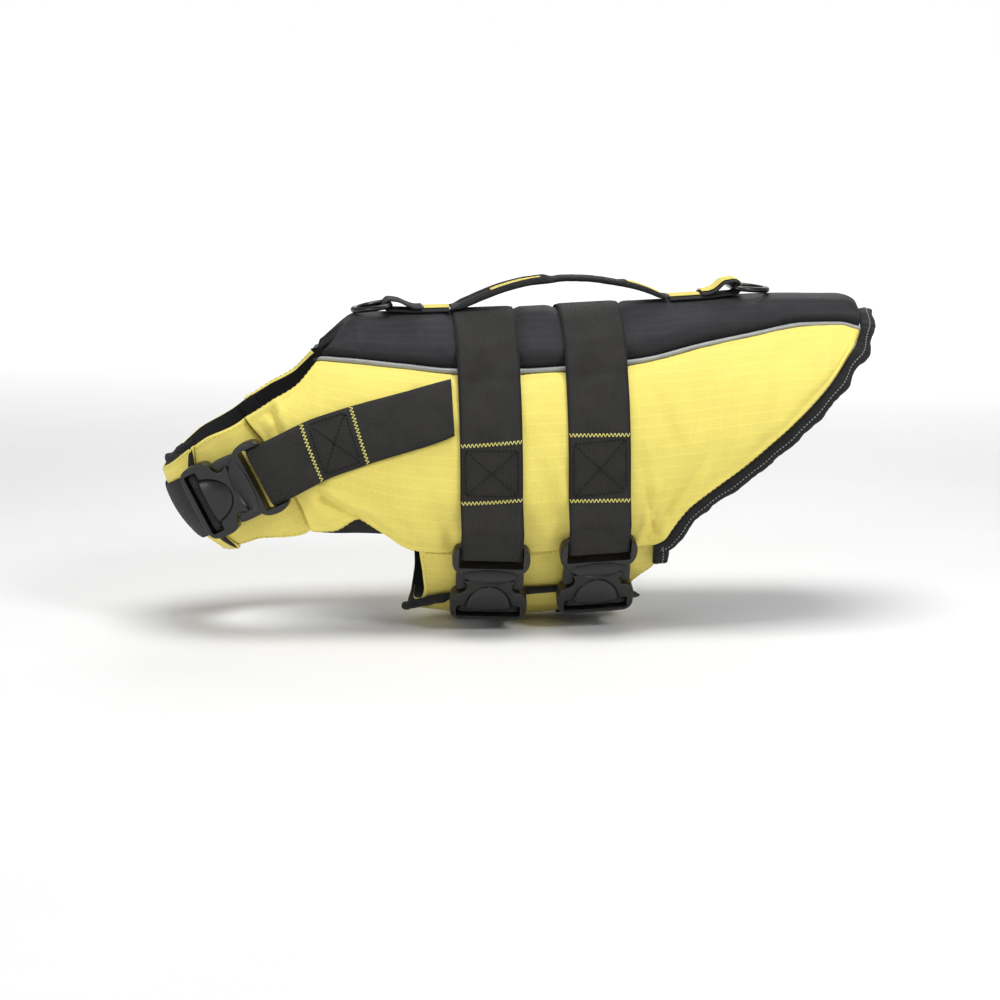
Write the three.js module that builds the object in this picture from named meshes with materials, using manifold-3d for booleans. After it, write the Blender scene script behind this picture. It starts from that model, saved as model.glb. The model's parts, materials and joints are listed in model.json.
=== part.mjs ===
// A dog's buoyancy jacket, closed as it is worn, with nobody in it.
// Millimetres. +Z is up, the head end points to -X, and the side with the buckles faces -Y.
// The origin is on the wearer's spine, at the inner face of the back panel.
import * as THREE from "three";
import { mergeVertices } from "three/addons/utils/BufferGeometryUtils.js";
import Module from "manifold-3d";

const wasm = await Module();
wasm.setup();

// Driving dimensions
const WEBBING = 38; // width of the belts and of the chest strap
const WEBBING_THICK = 1.6;
const BACK_FOAM = 14; // thickness of the back panel at its middle
const SIDE_FOAM = 9.5; // thickness of a side panel at its middle
const FOAM_EDGE = 4.6; // thickness of a padded panel at its seams
const FOAM_ROUNDING = 13; // how far from a seam the padding takes to reach its thickness
const CHEST_THICK = 2;
const FLAP_THICK = 2;
const SEAM = 0.4; // gap between neighbouring pieces
const BELT_DENT = { back: 2, side: 1.2 }; // how deep a belt presses into the padding
const PIPING_RADIUS = 1.5;
const BINDING_WIDTH = 10.5;
const BINDING_THICK = 4.2;
const SCALLOP = 23; // length of one wave of the gathered hem
const BELT_X = { front: -78, rear: -12.3 }; // where the two belts cross the spine
const STRIP_WIDTH = 28; // the strip along the spine that carries the handle and the rings
const STRIP_THICK = 1.6;
const RIBBON_WIDTH = 19;
const RIBBON_THICK = 0.6;
const RING_RADIUS = 1.7; // radius of the rings' wire
const RING_WIDTH = 37;
const RING_DEPTH = 26;

// The body form inside the jacket. Each row is a flat section, from the spine (top) to the chest or
// belly (low).
const SECTIONS = [
  { topX: -174, topZ: -5, lowX: -273, lowZ: -84, halfWidth: 44 },
  { topX: -168, topZ: -4, lowX: -264, lowZ: -107, halfWidth: 47 },
  { topX: -159, topZ: -4, lowX: -242, lowZ: -131, halfWidth: 51 },
  { topX: -141, topZ: -4, lowX: -190, lowZ: -150, halfWidth: 57 },
  { topX: -112, topZ: -3.5, lowX: -125, lowZ: -170, halfWidth: 63 },
  { topX: -60, topZ: -2, lowX: -60, lowZ: -176, halfWidth: 66 },
  { topX: 30, topZ: 2, lowX: 30, lowZ: -165, halfWidth: 65 },
  { topX: 110, topZ: 5.6, lowX: 110, lowZ: -148, halfWidth: 61 },
  { topX: 175, topZ: 4.4, lowX: 175, lowZ: -138, halfWidth: 57 },
];

// One side of the jacket in side view. Each row is a line across the panels: where it starts on the spine,
// where it crosses the piping or meets the neckline, and where it ends on the lower edge or the hem.
const PANEL_LINES = [
  { spineX: -164, edgeX: -227, edgeZ: -49, lowX: -187, lowZ: -121 },
  { spineX: -164, edgeX: -210, edgeZ: -38.5, lowX: -172, lowZ: -120 },
  { spineX: -164, edgeX: -192, edgeZ: -27, lowX: -157, lowZ: -112.5 },
  { spineX: -164, edgeX: -181, edgeZ: -14.5, lowX: -141, lowZ: -122 },
  { spineX: -150, edgeX: -160, edgeZ: -15.3, lowX: -123, lowZ: -132.5 },
  { spineX: -124, edgeX: -130, edgeZ: -18.3, lowX: -105, lowZ: -133.5 },
  { spineX: -98, edgeX: -101, edgeZ: -21.2, lowX: -80, lowZ: -133.5 },
  { spineX: -58, edgeX: -59, edgeZ: -21.6, lowX: -40, lowZ: -133 },
  { spineX: -20, edgeX: -20, edgeZ: -19.4, lowX: 0, lowZ: -132 },
  { spineX: 15, edgeX: 15, edgeZ: -16, lowX: 23, lowZ: -131 },
  { spineX: 52, edgeX: 52, edgeZ: -8, lowX: 45, lowZ: -106 },
  { spineX: 90, edgeX: 90, edgeZ: -0.8, lowX: 76, lowZ: -82.5 },
  { spineX: 122, edgeX: 120, edgeZ: 3.8, lowX: 108, lowZ: -55.5 },
  { spineX: 144, edgeX: 142, edgeZ: 4, lowX: 132, lowZ: -31 },
  { spineX: 159, edgeX: 155, edgeZ: 1.2, lowX: 149, lowZ: -9.5 },
];
// The first line in full: the seam between a side panel and the chest band, from the neck down.
const FRONT_SEAM = [
  { share: 0, x: -227, z: -49 },
  { share: 0.14, x: -218.8, z: -59.4 },
  { share: 0.4, x: -207.6, z: -78 },
  { share: 0.68, x: -196.3, z: -97.7 },
  { share: 1, x: -187, z: -121 },
];
const NECK_LINE = 3; // the row where the neckline meets the piping
const ARMHOLE_LINE = 4; // the row where the belly flap starts
const HEM_LINE = 9; // the row where the lower edge turns up into the hem
const LAST_LINE = PANEL_LINES.length - 1;

// Creases of a side panel in side view: a soft trough from one point to the other.
const CREASES = [
  { fromX: -186, fromZ: -96, toX: -158, toZ: -111, width: 7, depth: 4 },
  { fromX: -216, fromZ: -44, toX: -205, toZ: -66, width: 5, depth: 2 },
  { fromX: -50, fromZ: -62, toX: -40, toZ: -112, width: 7, depth: 1.6 },
  { fromX: 12, fromZ: -74, toX: 22, toZ: -120, width: 7, depth: 2 },
  { fromX: 56, fromZ: -70, toX: 30, toZ: -108, width: 8, depth: 1.2 },
];

// The chest band towards the front, as the form's stations along the neck and along the lower edge.
const CHEST_LINES = [
  { around: 0.62, neck: -0.1, low: 2.9 },
  { around: 0.72, neck: -0.1, low: 2.62 },
  { around: 0.85, neck: -0.04, low: 2.3 },
  { around: 1, neck: 0, low: 2.1 },
];

// The far belly flap's free edge, in side view along the body: how far round it reaches.
const FLAP_TONGUE = [
  { x: -125, around: 0.955 },
  { x: -119, around: 0.895 },
  { x: -98, around: 0.825 },
  { x: -58, around: 0.795 },
  { x: -25, around: 0.8 },
  { x: -4, around: 0.83 },
  { x: 10, around: 0.88 },
  { x: 16, around: 0.96 },
];

// The belly flaps' front and rear edges, from the side panel round to under the belly.
const FLAP_EDGES = [
  { around: 0.66, frontX: -121, rearX: 24 },
  { around: 0.7, frontX: -119.5, rearX: 27.5 },
  { around: 0.73, frontX: -118.5, rearX: 27 },
  { around: 0.77, frontX: -117.5, rearX: 19 },
  { around: 0.82, frontX: -116.5, rearX: 13 },
  { around: 0.9, frontX: -117, rearX: 11 },
  { around: 1, frontX: -121, rearX: 13 },
  { around: 1.12, frontX: -119, rearX: 16 },
];

// The handle's middle line above the spine, with its width and thickness there.
const HANDLE_LINE = [
  { x: -97.6, z: 12.7, width: 26, thick: 2.2 },
  { x: -92, z: 13.2, width: 26, thick: 2.4 },
  { x: -85, z: 15.4, width: 26, thick: 2.6 },
  { x: -76, z: 19, width: 26, thick: 2.8 },
  { x: -64, z: 23.4, width: 25, thick: 3 },
  { x: -50, z: 26.8, width: 22, thick: 3.2 },
  { x: -37, z: 28.4, width: 17, thick: 4 },
  { x: -24, z: 29.8, width: 15, thick: 4.2 },
  { x: -8, z: 29, width: 15, thick: 4.2 },
  { x: 5, z: 27, width: 17, thick: 4 },
  { x: 17, z: 24.4, width: 22, thick: 3.2 },
  { x: 27, z: 21.2, width: 25, thick: 2.8 },
  { x: 33, z: 19, width: 26, thick: 2.4 },
  { x: 37.6, z: 18.6, width: 26, thick: 2 },
];

// The chest strap's middle line on the body form: station along it, and how far round.
const CHEST_STRAP_LINE = [
  { station: 4.32, around: 0.337 },
  { station: 3.65, around: 0.381 },
  { station: 3.11, around: 0.425 },
  { station: 2.44, around: 0.494 },
  { station: 2.08, around: 0.554 },
  { station: 1.88, around: 0.593 },
  { station: 1.66, around: 0.64 },
  { station: 1.4, around: 0.717 },
  { station: 1.24, around: 0.8 },
  { station: 1.17, around: 0.9 },
  { station: 1.15, around: 1 },
];
const CHEST_BUCKLE_ROW = 6; // the row of the buckle's middle

const MATERIALS = {
  yellow: new THREE.MeshStandardMaterial({ color: 0xe8dc5c, roughness: 0.7, metalness: 0 }),
  dark: new THREE.MeshStandardMaterial({ color: 0x2a2a2e, roughness: 0.75, metalness: 0 }),
  webbing: new THREE.MeshStandardMaterial({ color: 0x23231f, roughness: 0.8, metalness: 0 }),
  binding: new THREE.MeshStandardMaterial({ color: 0x17171a, roughness: 0.85, metalness: 0 }),
  piping: new THREE.MeshStandardMaterial({ color: 0x8f9290, roughness: 0.4, metalness: 0 }),
  plastic: new THREE.MeshStandardMaterial({ color: 0x1e1f1e, roughness: 0.45, metalness: 0 }),
  metal: new THREE.MeshStandardMaterial({ color: 0x3a3a3c, roughness: 0.3, metalness: 1 }),
};

const jacket = new THREE.Group();

// Values between the rows of a table

const mix = (a, b, share) => a + (b - a) * share;
const clamp = (value, low, high) => Math.min(high, Math.max(low, value));
const many = (count, make) => Array.from({ length: count }, (_, i) => make(i));

// A smooth curve through the points (at[i], values[i]) that never overshoots them. It runs on straight
// past its ends.
function smoothCurve(at, values) {
  const last = at.length - 1;
  const gaps = many(last, (i) => at[i + 1] - at[i]);
  const rises = many(last, (i) => (values[i + 1] - values[i]) / gaps[i]);
  const slopes = many(at.length, (i) => {
    if (i === 0) return rises[0];
    if (i === last) return rises[last - 1];
    if (rises[i - 1] * rises[i] <= 0) return 0;
    const before = 2 * gaps[i] + gaps[i - 1];
    const after = gaps[i] + 2 * gaps[i - 1];
    return (before + after) / (before / rises[i - 1] + after / rises[i]);
  });
  return (x) => {
    if (x <= at[0]) return values[0] + (x - at[0]) * slopes[0];
    if (x >= at[last]) return values[last] + (x - at[last]) * slopes[last];
    const i = at.findIndex((edge) => edge > x) - 1;
    const s = (x - at[i]) / gaps[i];
    const rest = 1 - s;
    return (
      rest * rest * (1 + 2 * s) * values[i] +
      s * rest * rest * gaps[i] * slopes[i] +
      s * s * (3 - 2 * s) * values[i + 1] -
      s * s * rest * gaps[i] * slopes[i + 1]
    );
  };
}

// One curve for each named column of a table, read by row number or by the column that key names.
function curvesOf(table, columns, key = null) {
  const at = table.map((row, i) => (key ? row[key] : i));
  return Object.fromEntries(
    columns.map((column) => [column, smoothCurve(at, table.map((row) => row[column]))]),
  );
}

// The body form

const section = curvesOf(SECTIONS, ["topX", "topZ", "lowX", "lowZ", "halfWidth"]);

// A point of the form: station counts the sections, and around is 0 on the spine, 1 under the belly,
// above 0 on the near side (-Y) and below 0, or above 1, on the far side.
function form(station, around) {
  const down = (1 - Math.cos(Math.PI * around)) / 2;
  return new THREE.Vector3(
    mix(section.topX(station), section.lowX(station), down),
    -section.halfWidth(station) * Math.sin(Math.PI * around),
    mix(section.topZ(station), section.lowZ(station), down),
  );
}

const STEP = 1e-3;
function slopesAt(station, around) {
  const along = form(station + STEP, around).sub(form(station - STEP, around));
  const round = form(station, around + STEP).sub(form(station, around - STEP));
  return { along: along.divideScalar(2 * STEP), round: round.divideScalar(2 * STEP) };
}

function outwards(station, around) {
  const { along, round } = slopesAt(station, around);
  return along.cross(round).normalize().negate();
}

// A point at a height above the form.
const lifted = (station, around, lift) =>
  form(station, around).addScaledVector(outwards(station, around), lift);

// The station where the form, lifted, has this x.
function stationAt(x, around, lift) {
  let low = -0.6;
  let high = 8.6;
  for (let i = 0; i < 40; i++) {
    const middle = (low + high) / 2;
    if (lifted(middle, around, lift).x < x) low = middle;
    else high = middle;
  }
  return (low + high) / 2;
}

// The near side's spot that a side view shows at (x, z).
function spotAt(x, z, lift) {
  let low = 0.02;
  let high = 0.98;
  for (let i = 0; i < 40; i++) {
    const middle = (low + high) / 2;
    if (lifted(stationAt(x, middle, lift), middle, lift).z > z) low = middle;
    else high = middle;
  }
  const around = (low + high) / 2;
  return { station: stationAt(x, around, lift), around };
}

// Walks a distance over the form from a spot, in a direction of space.
function walk(spot, direction, distance, lift) {
  const steps = 4;
  let { station, around } = spot;
  for (let i = 0; i < steps; i++) {
    const { along, round } = slopesAt(station, around);
    const aa = along.dot(along);
    const ar = along.dot(round);
    const rr = round.dot(round);
    const reach = direction.clone().multiplyScalar(distance / steps);
    const growth = 1 + lift / 65; // the lifted form is wider than the form by about this much
    const da = along.dot(reach);
    const dr = round.dot(reach) / growth;
    const det = aa * rr - ar * ar;
    station += (da * rr - dr * ar) / det;
    around += (dr * aa - da * ar) / det;
  }
  return { station, around };
}

// Closed solids from rows of outer and inner points

function closedSolid(positions, faces) {
  let volume = 0;
  const corner = (i) => new THREE.Vector3().fromArray(positions, 3 * i);
  for (const [a, b, c] of faces) volume += corner(a).dot(corner(b).cross(corner(c)));
  const index = faces.flatMap(([a, b, c]) => (volume < 0 ? [a, c, b] : [a, b, c]));
  const geometry = new THREE.BufferGeometry();
  geometry.setAttribute("position", new THREE.Float32BufferAttribute(positions, 3));
  geometry.setIndex(index);
  return geometry;
}

// Each row is { outer, inner }, two lists of points of one length. Rows are joined in order.
function shell(rows, closed = false) {
  const width = rows[0].outer.length;
  const positions = rows.flatMap((row) => [...row.outer, ...row.inner].flatMap((p) => p.toArray()));
  const outer = (i, j) => (i % rows.length) * 2 * width + j;
  const inner = (i, j) => outer(i, j) + width;
  const faces = [];
  const quad = (a, b, c, d) => faces.push([a, b, c], [a, c, d]);
  for (let i = 0; i < rows.length - (closed ? 0 : 1); i++) {
    for (let j = 0; j + 1 < width; j++) {
      quad(outer(i, j), outer(i + 1, j), outer(i + 1, j + 1), outer(i, j + 1));
      quad(inner(i, j), inner(i, j + 1), inner(i + 1, j + 1), inner(i + 1, j));
    }
    quad(outer(i, 0), inner(i, 0), inner(i + 1, 0), outer(i + 1, 0));
    const end = width - 1;
    quad(outer(i, end), outer(i + 1, end), inner(i + 1, end), inner(i, end));
  }
  if (!closed) {
    const last = rows.length - 1;
    for (let j = 0; j + 1 < width; j++) {
      quad(outer(0, j), outer(0, j + 1), inner(0, j + 1), inner(0, j));
      quad(outer(last, j), inner(last, j), inner(last, j + 1), outer(last, j + 1));
    }
  }
  return closedSolid(positions, faces);
}

// A wall of even thickness about rows of middle points.
function sheet(middles, thick) {
  const rows = middles.map((points, i) => {
    const before = middles[Math.max(0, i - 1)];
    const after = middles[Math.min(middles.length - 1, i + 1)];
    const normals = points.map((_, j) => {
      const left = points[Math.max(0, j - 1)];
      const right = points[Math.min(points.length - 1, j + 1)];
      const across = right.clone().sub(left);
      return after[j].clone().sub(before[j]).cross(across).normalize();
    });
    return {
      outer: points.map((p, j) => p.clone().addScaledVector(normals[j], thick / 2)),
      inner: points.map((p, j) => p.clone().addScaledVector(normals[j], -thick / 2)),
    };
  });
  return shell(rows);
}

const mirrored = (geometry) => {
  const flipped = geometry.clone().applyMatrix4(new THREE.Matrix4().makeScale(1, -1, 1));
  const index = flipped.index.array;
  for (let i = 0; i < index.length; i += 3) [index[i + 1], index[i + 2]] = [index[i + 2], index[i + 1]];
  return flipped;
};

function addPiece(name, material, geometry) {
  const mesh = new THREE.Mesh(geometry, MATERIALS[material]);
  mesh.name = name;
  jacket.add(mesh);
  return mesh;
}

function addPair(name, material, geometry) {
  addPiece(name + "_near", material, geometry);
  addPiece(name + "_far", material, mirrored(geometry));
}

// Padded panels

// Shares from 0 to 1 that lie closer together towards both ends, where the padding rounds off.
const easedShares = (count) =>
  many(count + 1, (i) => {
    const even = i / count;
    return mix(even, (1 - Math.cos(Math.PI * even)) / 2, 0.75);
  });

// Height of the padding at a distance from the nearest seam.
function padding(full, distance) {
  const rest = 1 - clamp(distance / FOAM_ROUNDING, 0, 1);
  return FOAM_EDGE + (full - FOAM_EDGE) * Math.sqrt(1 - rest * rest);
}

// Distance of each point of a grid from the grid's border, along its rows and columns.
function borderDistances(grid) {
  const runs = (line) => {
    const sums = [0];
    for (let i = 1; i < line.length; i++) sums.push(sums[i - 1] + line[i].distanceTo(line[i - 1]));
    return sums.map((sum) => Math.min(sum, sums[sums.length - 1] - sum));
  };
  const down = grid.map(runs);
  const across = grid[0].map((_, j) => runs(grid.map((line) => line[j])));
  return grid.map((line, i) => line.map((_, j) => Math.min(down[i][j], across[j][i])));
}

const spots = {
  edge: PANEL_LINES.map((row) => spotAt(row.edgeX, row.edgeZ, 7)),
  low: PANEL_LINES.map((row) => spotAt(row.lowX, row.lowZ, 7)),
  spine: PANEL_LINES.map((row) => ({ station: stationAt(row.spineX, 0, BACK_FOAM), around: 0 })),
};
const edge = curvesOf(spots.edge, ["station", "around"]);
const low = curvesOf(spots.low, ["station", "around"]);
const spine = curvesOf(spots.spine, ["station"]);
const spineX = curvesOf(PANEL_LINES, ["spineX"]).spineX;

const seam = curvesOf(
  FRONT_SEAM.map((row) => ({ share: row.share, ...spotAt(row.x, row.z, 7) })),
  ["station", "around"],
  "share",
);

// Millimetres round the body for one whole unit of around.
const girth = (station, around) => slopesAt(station, around).round.length();

function creaseDepth(point) {
  let depth = 0;
  for (const crease of CREASES) {
    const from = new THREE.Vector2(crease.fromX, crease.fromZ);
    const run = new THREE.Vector2(crease.toX, crease.toZ).sub(from);
    const here = new THREE.Vector2(point.x, point.z).sub(from);
    const share = clamp(here.dot(run) / run.lengthSq(), 0, 1);
    const off = here.addScaledVector(run, -share).length() / crease.width;
    depth += crease.depth * (0.35 + 0.65 * share) * Math.exp(-off * off);
  }
  return depth;
}

// How far a point lies under a belt: 1 beneath it, falling to 0 over a distance from its edge.
function underBelt(x, fade) {
  const off = Math.min(Math.abs(x - BELT_X.front), Math.abs(x - BELT_X.rear)) - WEBBING / 2;
  const share = clamp(1 - off / fade, 0, 1);
  return share * share * (3 - 2 * share);
}

function paddedPanel(full, spotOf, lines, shares, reliefAt) {
  const spotGrid = lines.map((line) => shares.map((share) => spotOf(line, share)));
  const grid = spotGrid.map((line) => line.map((spot) => lifted(spot.station, spot.around, full / 2)));
  const distances = borderDistances(grid);
  const rows = spotGrid.map((line, i) => ({
    outer: line.map((spot, j) => {
      const height = Math.max(FOAM_EDGE * 0.7, padding(full, distances[i][j]) - reliefAt(grid[i][j]));
      return lifted(spot.station, spot.around, height);
    }),
    inner: line.map((spot) => lifted(spot.station, spot.around, 0)),
  }));
  return shell(rows);
}

// A spot of a side panel: line counts along PANEL_LINES, share runs from the piping down to the lower edge.
function sideSpot(line, share) {
  const from = { station: edge.station(line), around: edge.around(line) };
  const to = { station: low.station(line), around: low.around(line) };
  const beside = (PIPING_RADIUS + SEAM) * clamp(line - NECK_LINE + 1, 0, 1);
  const start = from.around + beside / girth(from.station, from.around);
  const straight = { station: mix(from.station, to.station, share), around: mix(start, to.around, share) };
  const toSeam = clamp(1 - line / 3, 0, 1) ** 2;
  return {
    station: straight.station + toSeam * (seam.station(share) - mix(seam.station(0), seam.station(1), share)),
    around: straight.around + toSeam * (seam.around(share) - mix(seam.around(0), seam.around(1), share)),
  };
}

const SIDE_SHARES = easedShares(10);

function sidePanel() {
  const lines = [
    ...easedShares(14).map((share) => mix(0, HEM_LINE, share)),
    ...easedShares(10).slice(1).map((share) => mix(HEM_LINE, LAST_LINE, share)),
  ];
  const relief = (point) => creaseDepth(point) + BELT_DENT.side * underBelt(point.x, 12);
  return paddedPanel(SIDE_FOAM, sideSpot, lines, SIDE_SHARES, relief);
}

// Where the back panel's lines cross the spine: close together at both ends and beside the belts.
const DENT_WALL = 6; // over this distance beside a belt the back's padding rises again
const besideBelt = (x) => {
  const edgeOff = WEBBING / 2 + 0.5;
  return [x - edgeOff - DENT_WALL, x - edgeOff, x, x + edgeOff, x + edgeOff + DENT_WALL];
};
const BACK_STOPS = [
  ...[-164, -162.6, -159, -153, -140, -122],
  ...besideBelt(BELT_X.front),
  ...besideBelt(BELT_X.rear),
  ...[36, 60, 86, 112, 132, 146, 153.5, 157.6, 159],
];

// The panel line that crosses the spine at x.
function lineAt(x) {
  let from = NECK_LINE;
  let to = LAST_LINE;
  for (let i = 0; i < 30; i++) {
    const middle = (from + to) / 2;
    if (spineX(middle) < x) from = middle;
    else to = middle;
  }
  return (from + to) / 2;
}

function backPanel() {
  const spotOf = (line, share) => {
    const side = 2 * share - 1;
    const reach = edge.around(line) - (PIPING_RADIUS + SEAM) / girth(edge.station(line), edge.around(line));
    return {
      station: mix(spine.station(line), edge.station(line), side * side),
      around: side * reach,
    };
  };
  const relief = (point) => BELT_DENT.back * underBelt(point.x, DENT_WALL);
  return paddedPanel(BACK_FOAM, spotOf, BACK_STOPS.map(lineAt), easedShares(12), relief);
}

// Piping, in the groove between the back panel and a side panel

function piping() {
  const sides = 6;
  const lift = FOAM_EDGE + 0.2;
  const rows = many(33, (i) => {
    const line = mix(NECK_LINE, LAST_LINE, i / 32);
    const spot = { station: edge.station(line), around: edge.around(line) };
    const centre = lifted(spot.station, spot.around, lift);
    const out = outwards(spot.station, spot.around);
    const round = slopesAt(spot.station, spot.around).round.normalize();
    const at = (turn) =>
      centre
        .clone()
        .addScaledVector(out, PIPING_RADIUS * Math.cos(turn))
        .addScaledVector(round, PIPING_RADIUS * Math.sin(turn));
    const half = many(sides / 2, (k) => (2 * Math.PI * (k + 0.5)) / sides - Math.PI / 2);
    return { outer: half.map(at), inner: half.map((turn) => at(Math.PI - turn)) };
  });
  return shell(rows);
}

// Elastic binding along the hem, gathered into scallops

function hemBinding() {
  const stub = spotAt(23.5, -143, 7);
  const last = { station: spine.station(LAST_LINE), around: 0 };
  const hem = many(19, (i) => {
    const line = mix(HEM_LINE, LAST_LINE, i / 18);
    return { station: low.station(line), around: low.around(line) };
  });
  const corner = { station: edge.station(LAST_LINE), around: edge.around(LAST_LINE) };
  const between = { station: mix(corner.station, last.station, 0.6), around: corner.around * 0.55 };
  const route = [stub, ...hem, corner, between, last];
  const runs = route.map((_, i) => i);
  const station = smoothCurve(runs, route.map((spot) => spot.station));
  const around = smoothCurve(runs, route.map((spot) => spot.around));
  const count = 60;
  const oneSide = many(count, (i) => {
    const at = (i / (count - 1)) * (route.length - 1);
    return { station: station(at), around: around(at) };
  });
  const otherSide = oneSide
    .slice(0, -1)
    .reverse()
    .map((spot) => ({ station: spot.station, around: -spot.around }));
  const path = [...oneSide, ...otherSide];
  const points = path.map((spot) => lifted(spot.station, spot.around, 0));
  let run = 0;
  const rows = path.map((spot, i) => {
    const before = points[Math.max(0, i - 1)];
    const after = points[Math.min(points.length - 1, i + 1)];
    run += i ? points[i].distanceTo(before) : 0;
    const out = outwards(spot.station, spot.around);
    const away = after.clone().sub(before).cross(out).normalize();
    const fromEnd = Math.min(i, path.length - 1 - i);
    const nearTop = clamp(fromEnd / count, 0, 1);
    const wave = (2 * Math.PI * run) / SCALLOP;
    const scallop = Math.sin(wave);
    const width = BINDING_WIDTH + mix(0.7, 2, nearTop) * scallop;
    const rest = mix(3, 0.3, clamp((fromEnd - 5) / 6, 0, 1));
    const rise = rest + 0.8 * nearTop * (1 + Math.sin(wave + 1.2));
    const at = (across, up) =>
      points[i].clone().addScaledVector(away, across).addScaledVector(out, rise + up);
    const start = mix(1.6, 0.7, clamp((fromEnd - 8) / 8, 0, 1));
    const crown = at(width * 0.5, BINDING_THICK);
    return {
      outer: [at(start, BINDING_THICK * 0.8), crown, at(width, BINDING_THICK * 0.6)],
      inner: [at(start, 0), at(width * 0.5, 0), at(width, 0.6)],
    };
  });
  return shell(rows);
}

// Chest band: two thin flaps that cross at the front, the far one outside

function chestFlap(end, riseFrom, riseTo, rise) {
  const neck = curvesOf(CHEST_LINES, ["neck", "low"], "around");
  const columns = 15;
  const rows = many(columns + 1, (i) => {
    const along = i / columns;
    const spotsOfRow = SIDE_SHARES.map((share) => {
      const spot = sideSpot(0, share);
      const next = sideSpot(0, share + 0.01);
      const run = form(next.station, next.around).sub(form(spot.station, spot.around));
      const away = run.cross(outwards(spot.station, spot.around)).normalize();
      const start = walk(spot, away, SEAM + 0.4, 0);
      const last = mix(end.neck, end.low, share);
      const around = mix(start.around, last, along);
      const fromCentre = Math.min(around, 2 - around);
      const target = mix(neck.neck(fromCentre), neck.low(fromCentre), share);
      const settle = clamp(along / 0.25, 0, 1);
      return { station: mix(start.station, target, settle * settle * (3 - 2 * settle)), around };
    });
    const liftOf = (spot) => rise * clamp((spot.around - riseFrom) / (riseTo - riseFrom), 0, 1);
    return {
      outer: spotsOfRow.map((spot) => lifted(spot.station, spot.around, liftOf(spot) + CHEST_THICK)),
      inner: spotsOfRow.map((spot) => lifted(spot.station, spot.around, liftOf(spot))),
    };
  });
  return shell(rows);
}

// The black lining that shows in the notch between the chest band and the side panel.
function armholeLining() {
  const lines = [
    { x: -186, topZ: -108, lowZ: -121.5 },
    { x: -172, topZ: -102, lowZ: -122 },
    { x: -157, topZ: -98, lowZ: -121.5 },
    { x: -144, topZ: -102, lowZ: -121.8 },
    { x: -133, topZ: -110, lowZ: -122.5 },
  ];
  const rows = lines.map((line) => {
    const points = [0, 0.33, 0.67, 1].map((share) => spotAt(line.x, mix(line.topZ, line.lowZ, share), 0));
    return {
      outer: points.map((spot) => lifted(spot.station, spot.around, -0.7)),
      inner: points.map((spot) => lifted(spot.station, spot.around, -2.2)),
    };
  });
  return shell(rows);
}

// Belly flaps

const flapEdge = curvesOf(FLAP_EDGES, ["frontX", "rearX"], "around");
const tongue = curvesOf(FLAP_TONGUE, ["around"], "x");
const lowAround = smoothCurve(
  PANEL_LINES.slice(ARMHOLE_LINE, HEM_LINE + 1).map((row) => row.lowX),
  spots.low.slice(ARMHOLE_LINE, HEM_LINE + 1).map((spot) => spot.around),
);
const rootAround = (x) => lowAround(clamp(x, -122, 23)) + (SEAM + 0.3) / 190;
const FAR_RISE = FLAP_THICK + 1.5;

// How high the far flap's inner face lies at this place round the body: it climbs over the near flap.
const farFlapLift = (around) => FAR_RISE * clamp((1.2 - around) / 0.07, 0, 1);

function nearFlap() {
  const rows = many(14, (i) => {
    const across = i / 13;
    const points = easedShares(9).map((share) => {
      const rough = mix(0.66, 1.1, share);
      const x = mix(flapEdge.frontX(rough), flapEdge.rearX(rough), across);
      const around = mix(rootAround(mix(-121, 24, across)), 1.1, share);
      return { station: stationAt(x, around, 0), around };
    });
    return {
      outer: points.map((spot) => lifted(spot.station, spot.around, FLAP_THICK)),
      inner: points.map((spot) => lifted(spot.station, spot.around, 0)),
    };
  });
  return shell(rows);
}

// A spot of the far flap: across from its front to its rear edge, share from its root to its free edge.
function farFlapSpot(across, share) {
  const tipX = mix(-125, 16, across);
  const rootX = mix(-121, 24, across);
  const around = mix(2 - rootAround(rootX), tongue.around(tipX), share);
  const fromCentre = Math.min(around, 2 - around);
  const sideX = mix(flapEdge.frontX(fromCentre), flapEdge.rearX(fromCentre), across);
  const x = mix(sideX, tipX, clamp((1.25 - around) / 0.3, 0, 1));
  return { station: stationAt(x, around, 0), around };
}

function farFlap() {
  const rows = many(13, (i) => {
    const points = easedShares(13).map((share) => farFlapSpot(i / 12, share));
    return {
      outer: points.map((spot) => lifted(spot.station, spot.around, farFlapLift(spot.around) + FLAP_THICK)),
      inner: points.map((spot) => lifted(spot.station, spot.around, farFlapLift(spot.around))),
    };
  });
  return shell(rows);
}

// The black edge along the far flap's free side.
function flapBinding() {
  const rows = many(13, (i) => {
    const spot = farFlapSpot(i / 12, 1);
    const ahead = farFlapSpot(Math.min(1, i / 12 + 0.01), 1);
    const behind = farFlapSpot(Math.max(0, i / 12 - 0.01), 1);
    const base = lifted(spot.station, spot.around, 0);
    const out = outwards(spot.station, spot.around);
    const run = lifted(ahead.station, ahead.around, 0).sub(lifted(behind.station, behind.around, 0));
    const away = run.cross(out).normalize().negate();
    const at = (across, up) => base.clone().addScaledVector(away, across).addScaledVector(out, up);
    const bottom = FAR_RISE;
    return {
      outer: [at(0.5, bottom + 1.6), at(2.6, bottom + 2.3), at(5.2, bottom + 1.4)],
      inner: [at(0.5, bottom), at(2.6, bottom), at(5.2, bottom)],
    };
  });
  return shell(rows);
}

// Side release buckles, made flat: x across, y from the female end to the male end, z outwards

const BUCKLE = {
  slotHalf: 20,
  maleSlotLow: 10.6,
  maleSlotHigh: 16.2,
  femaleSlotLow: -28.4,
  femaleSlotHigh: -19.9,
};

function outline(points) {
  const shape = new THREE.Shape();
  const right = points.map(([x, y]) => new THREE.Vector2(x, y));
  const left = right.map((p) => new THREE.Vector2(-p.x, p.y)).reverse();
  shape.setFromPoints([...right, ...left]);
  return shape;
}

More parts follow.
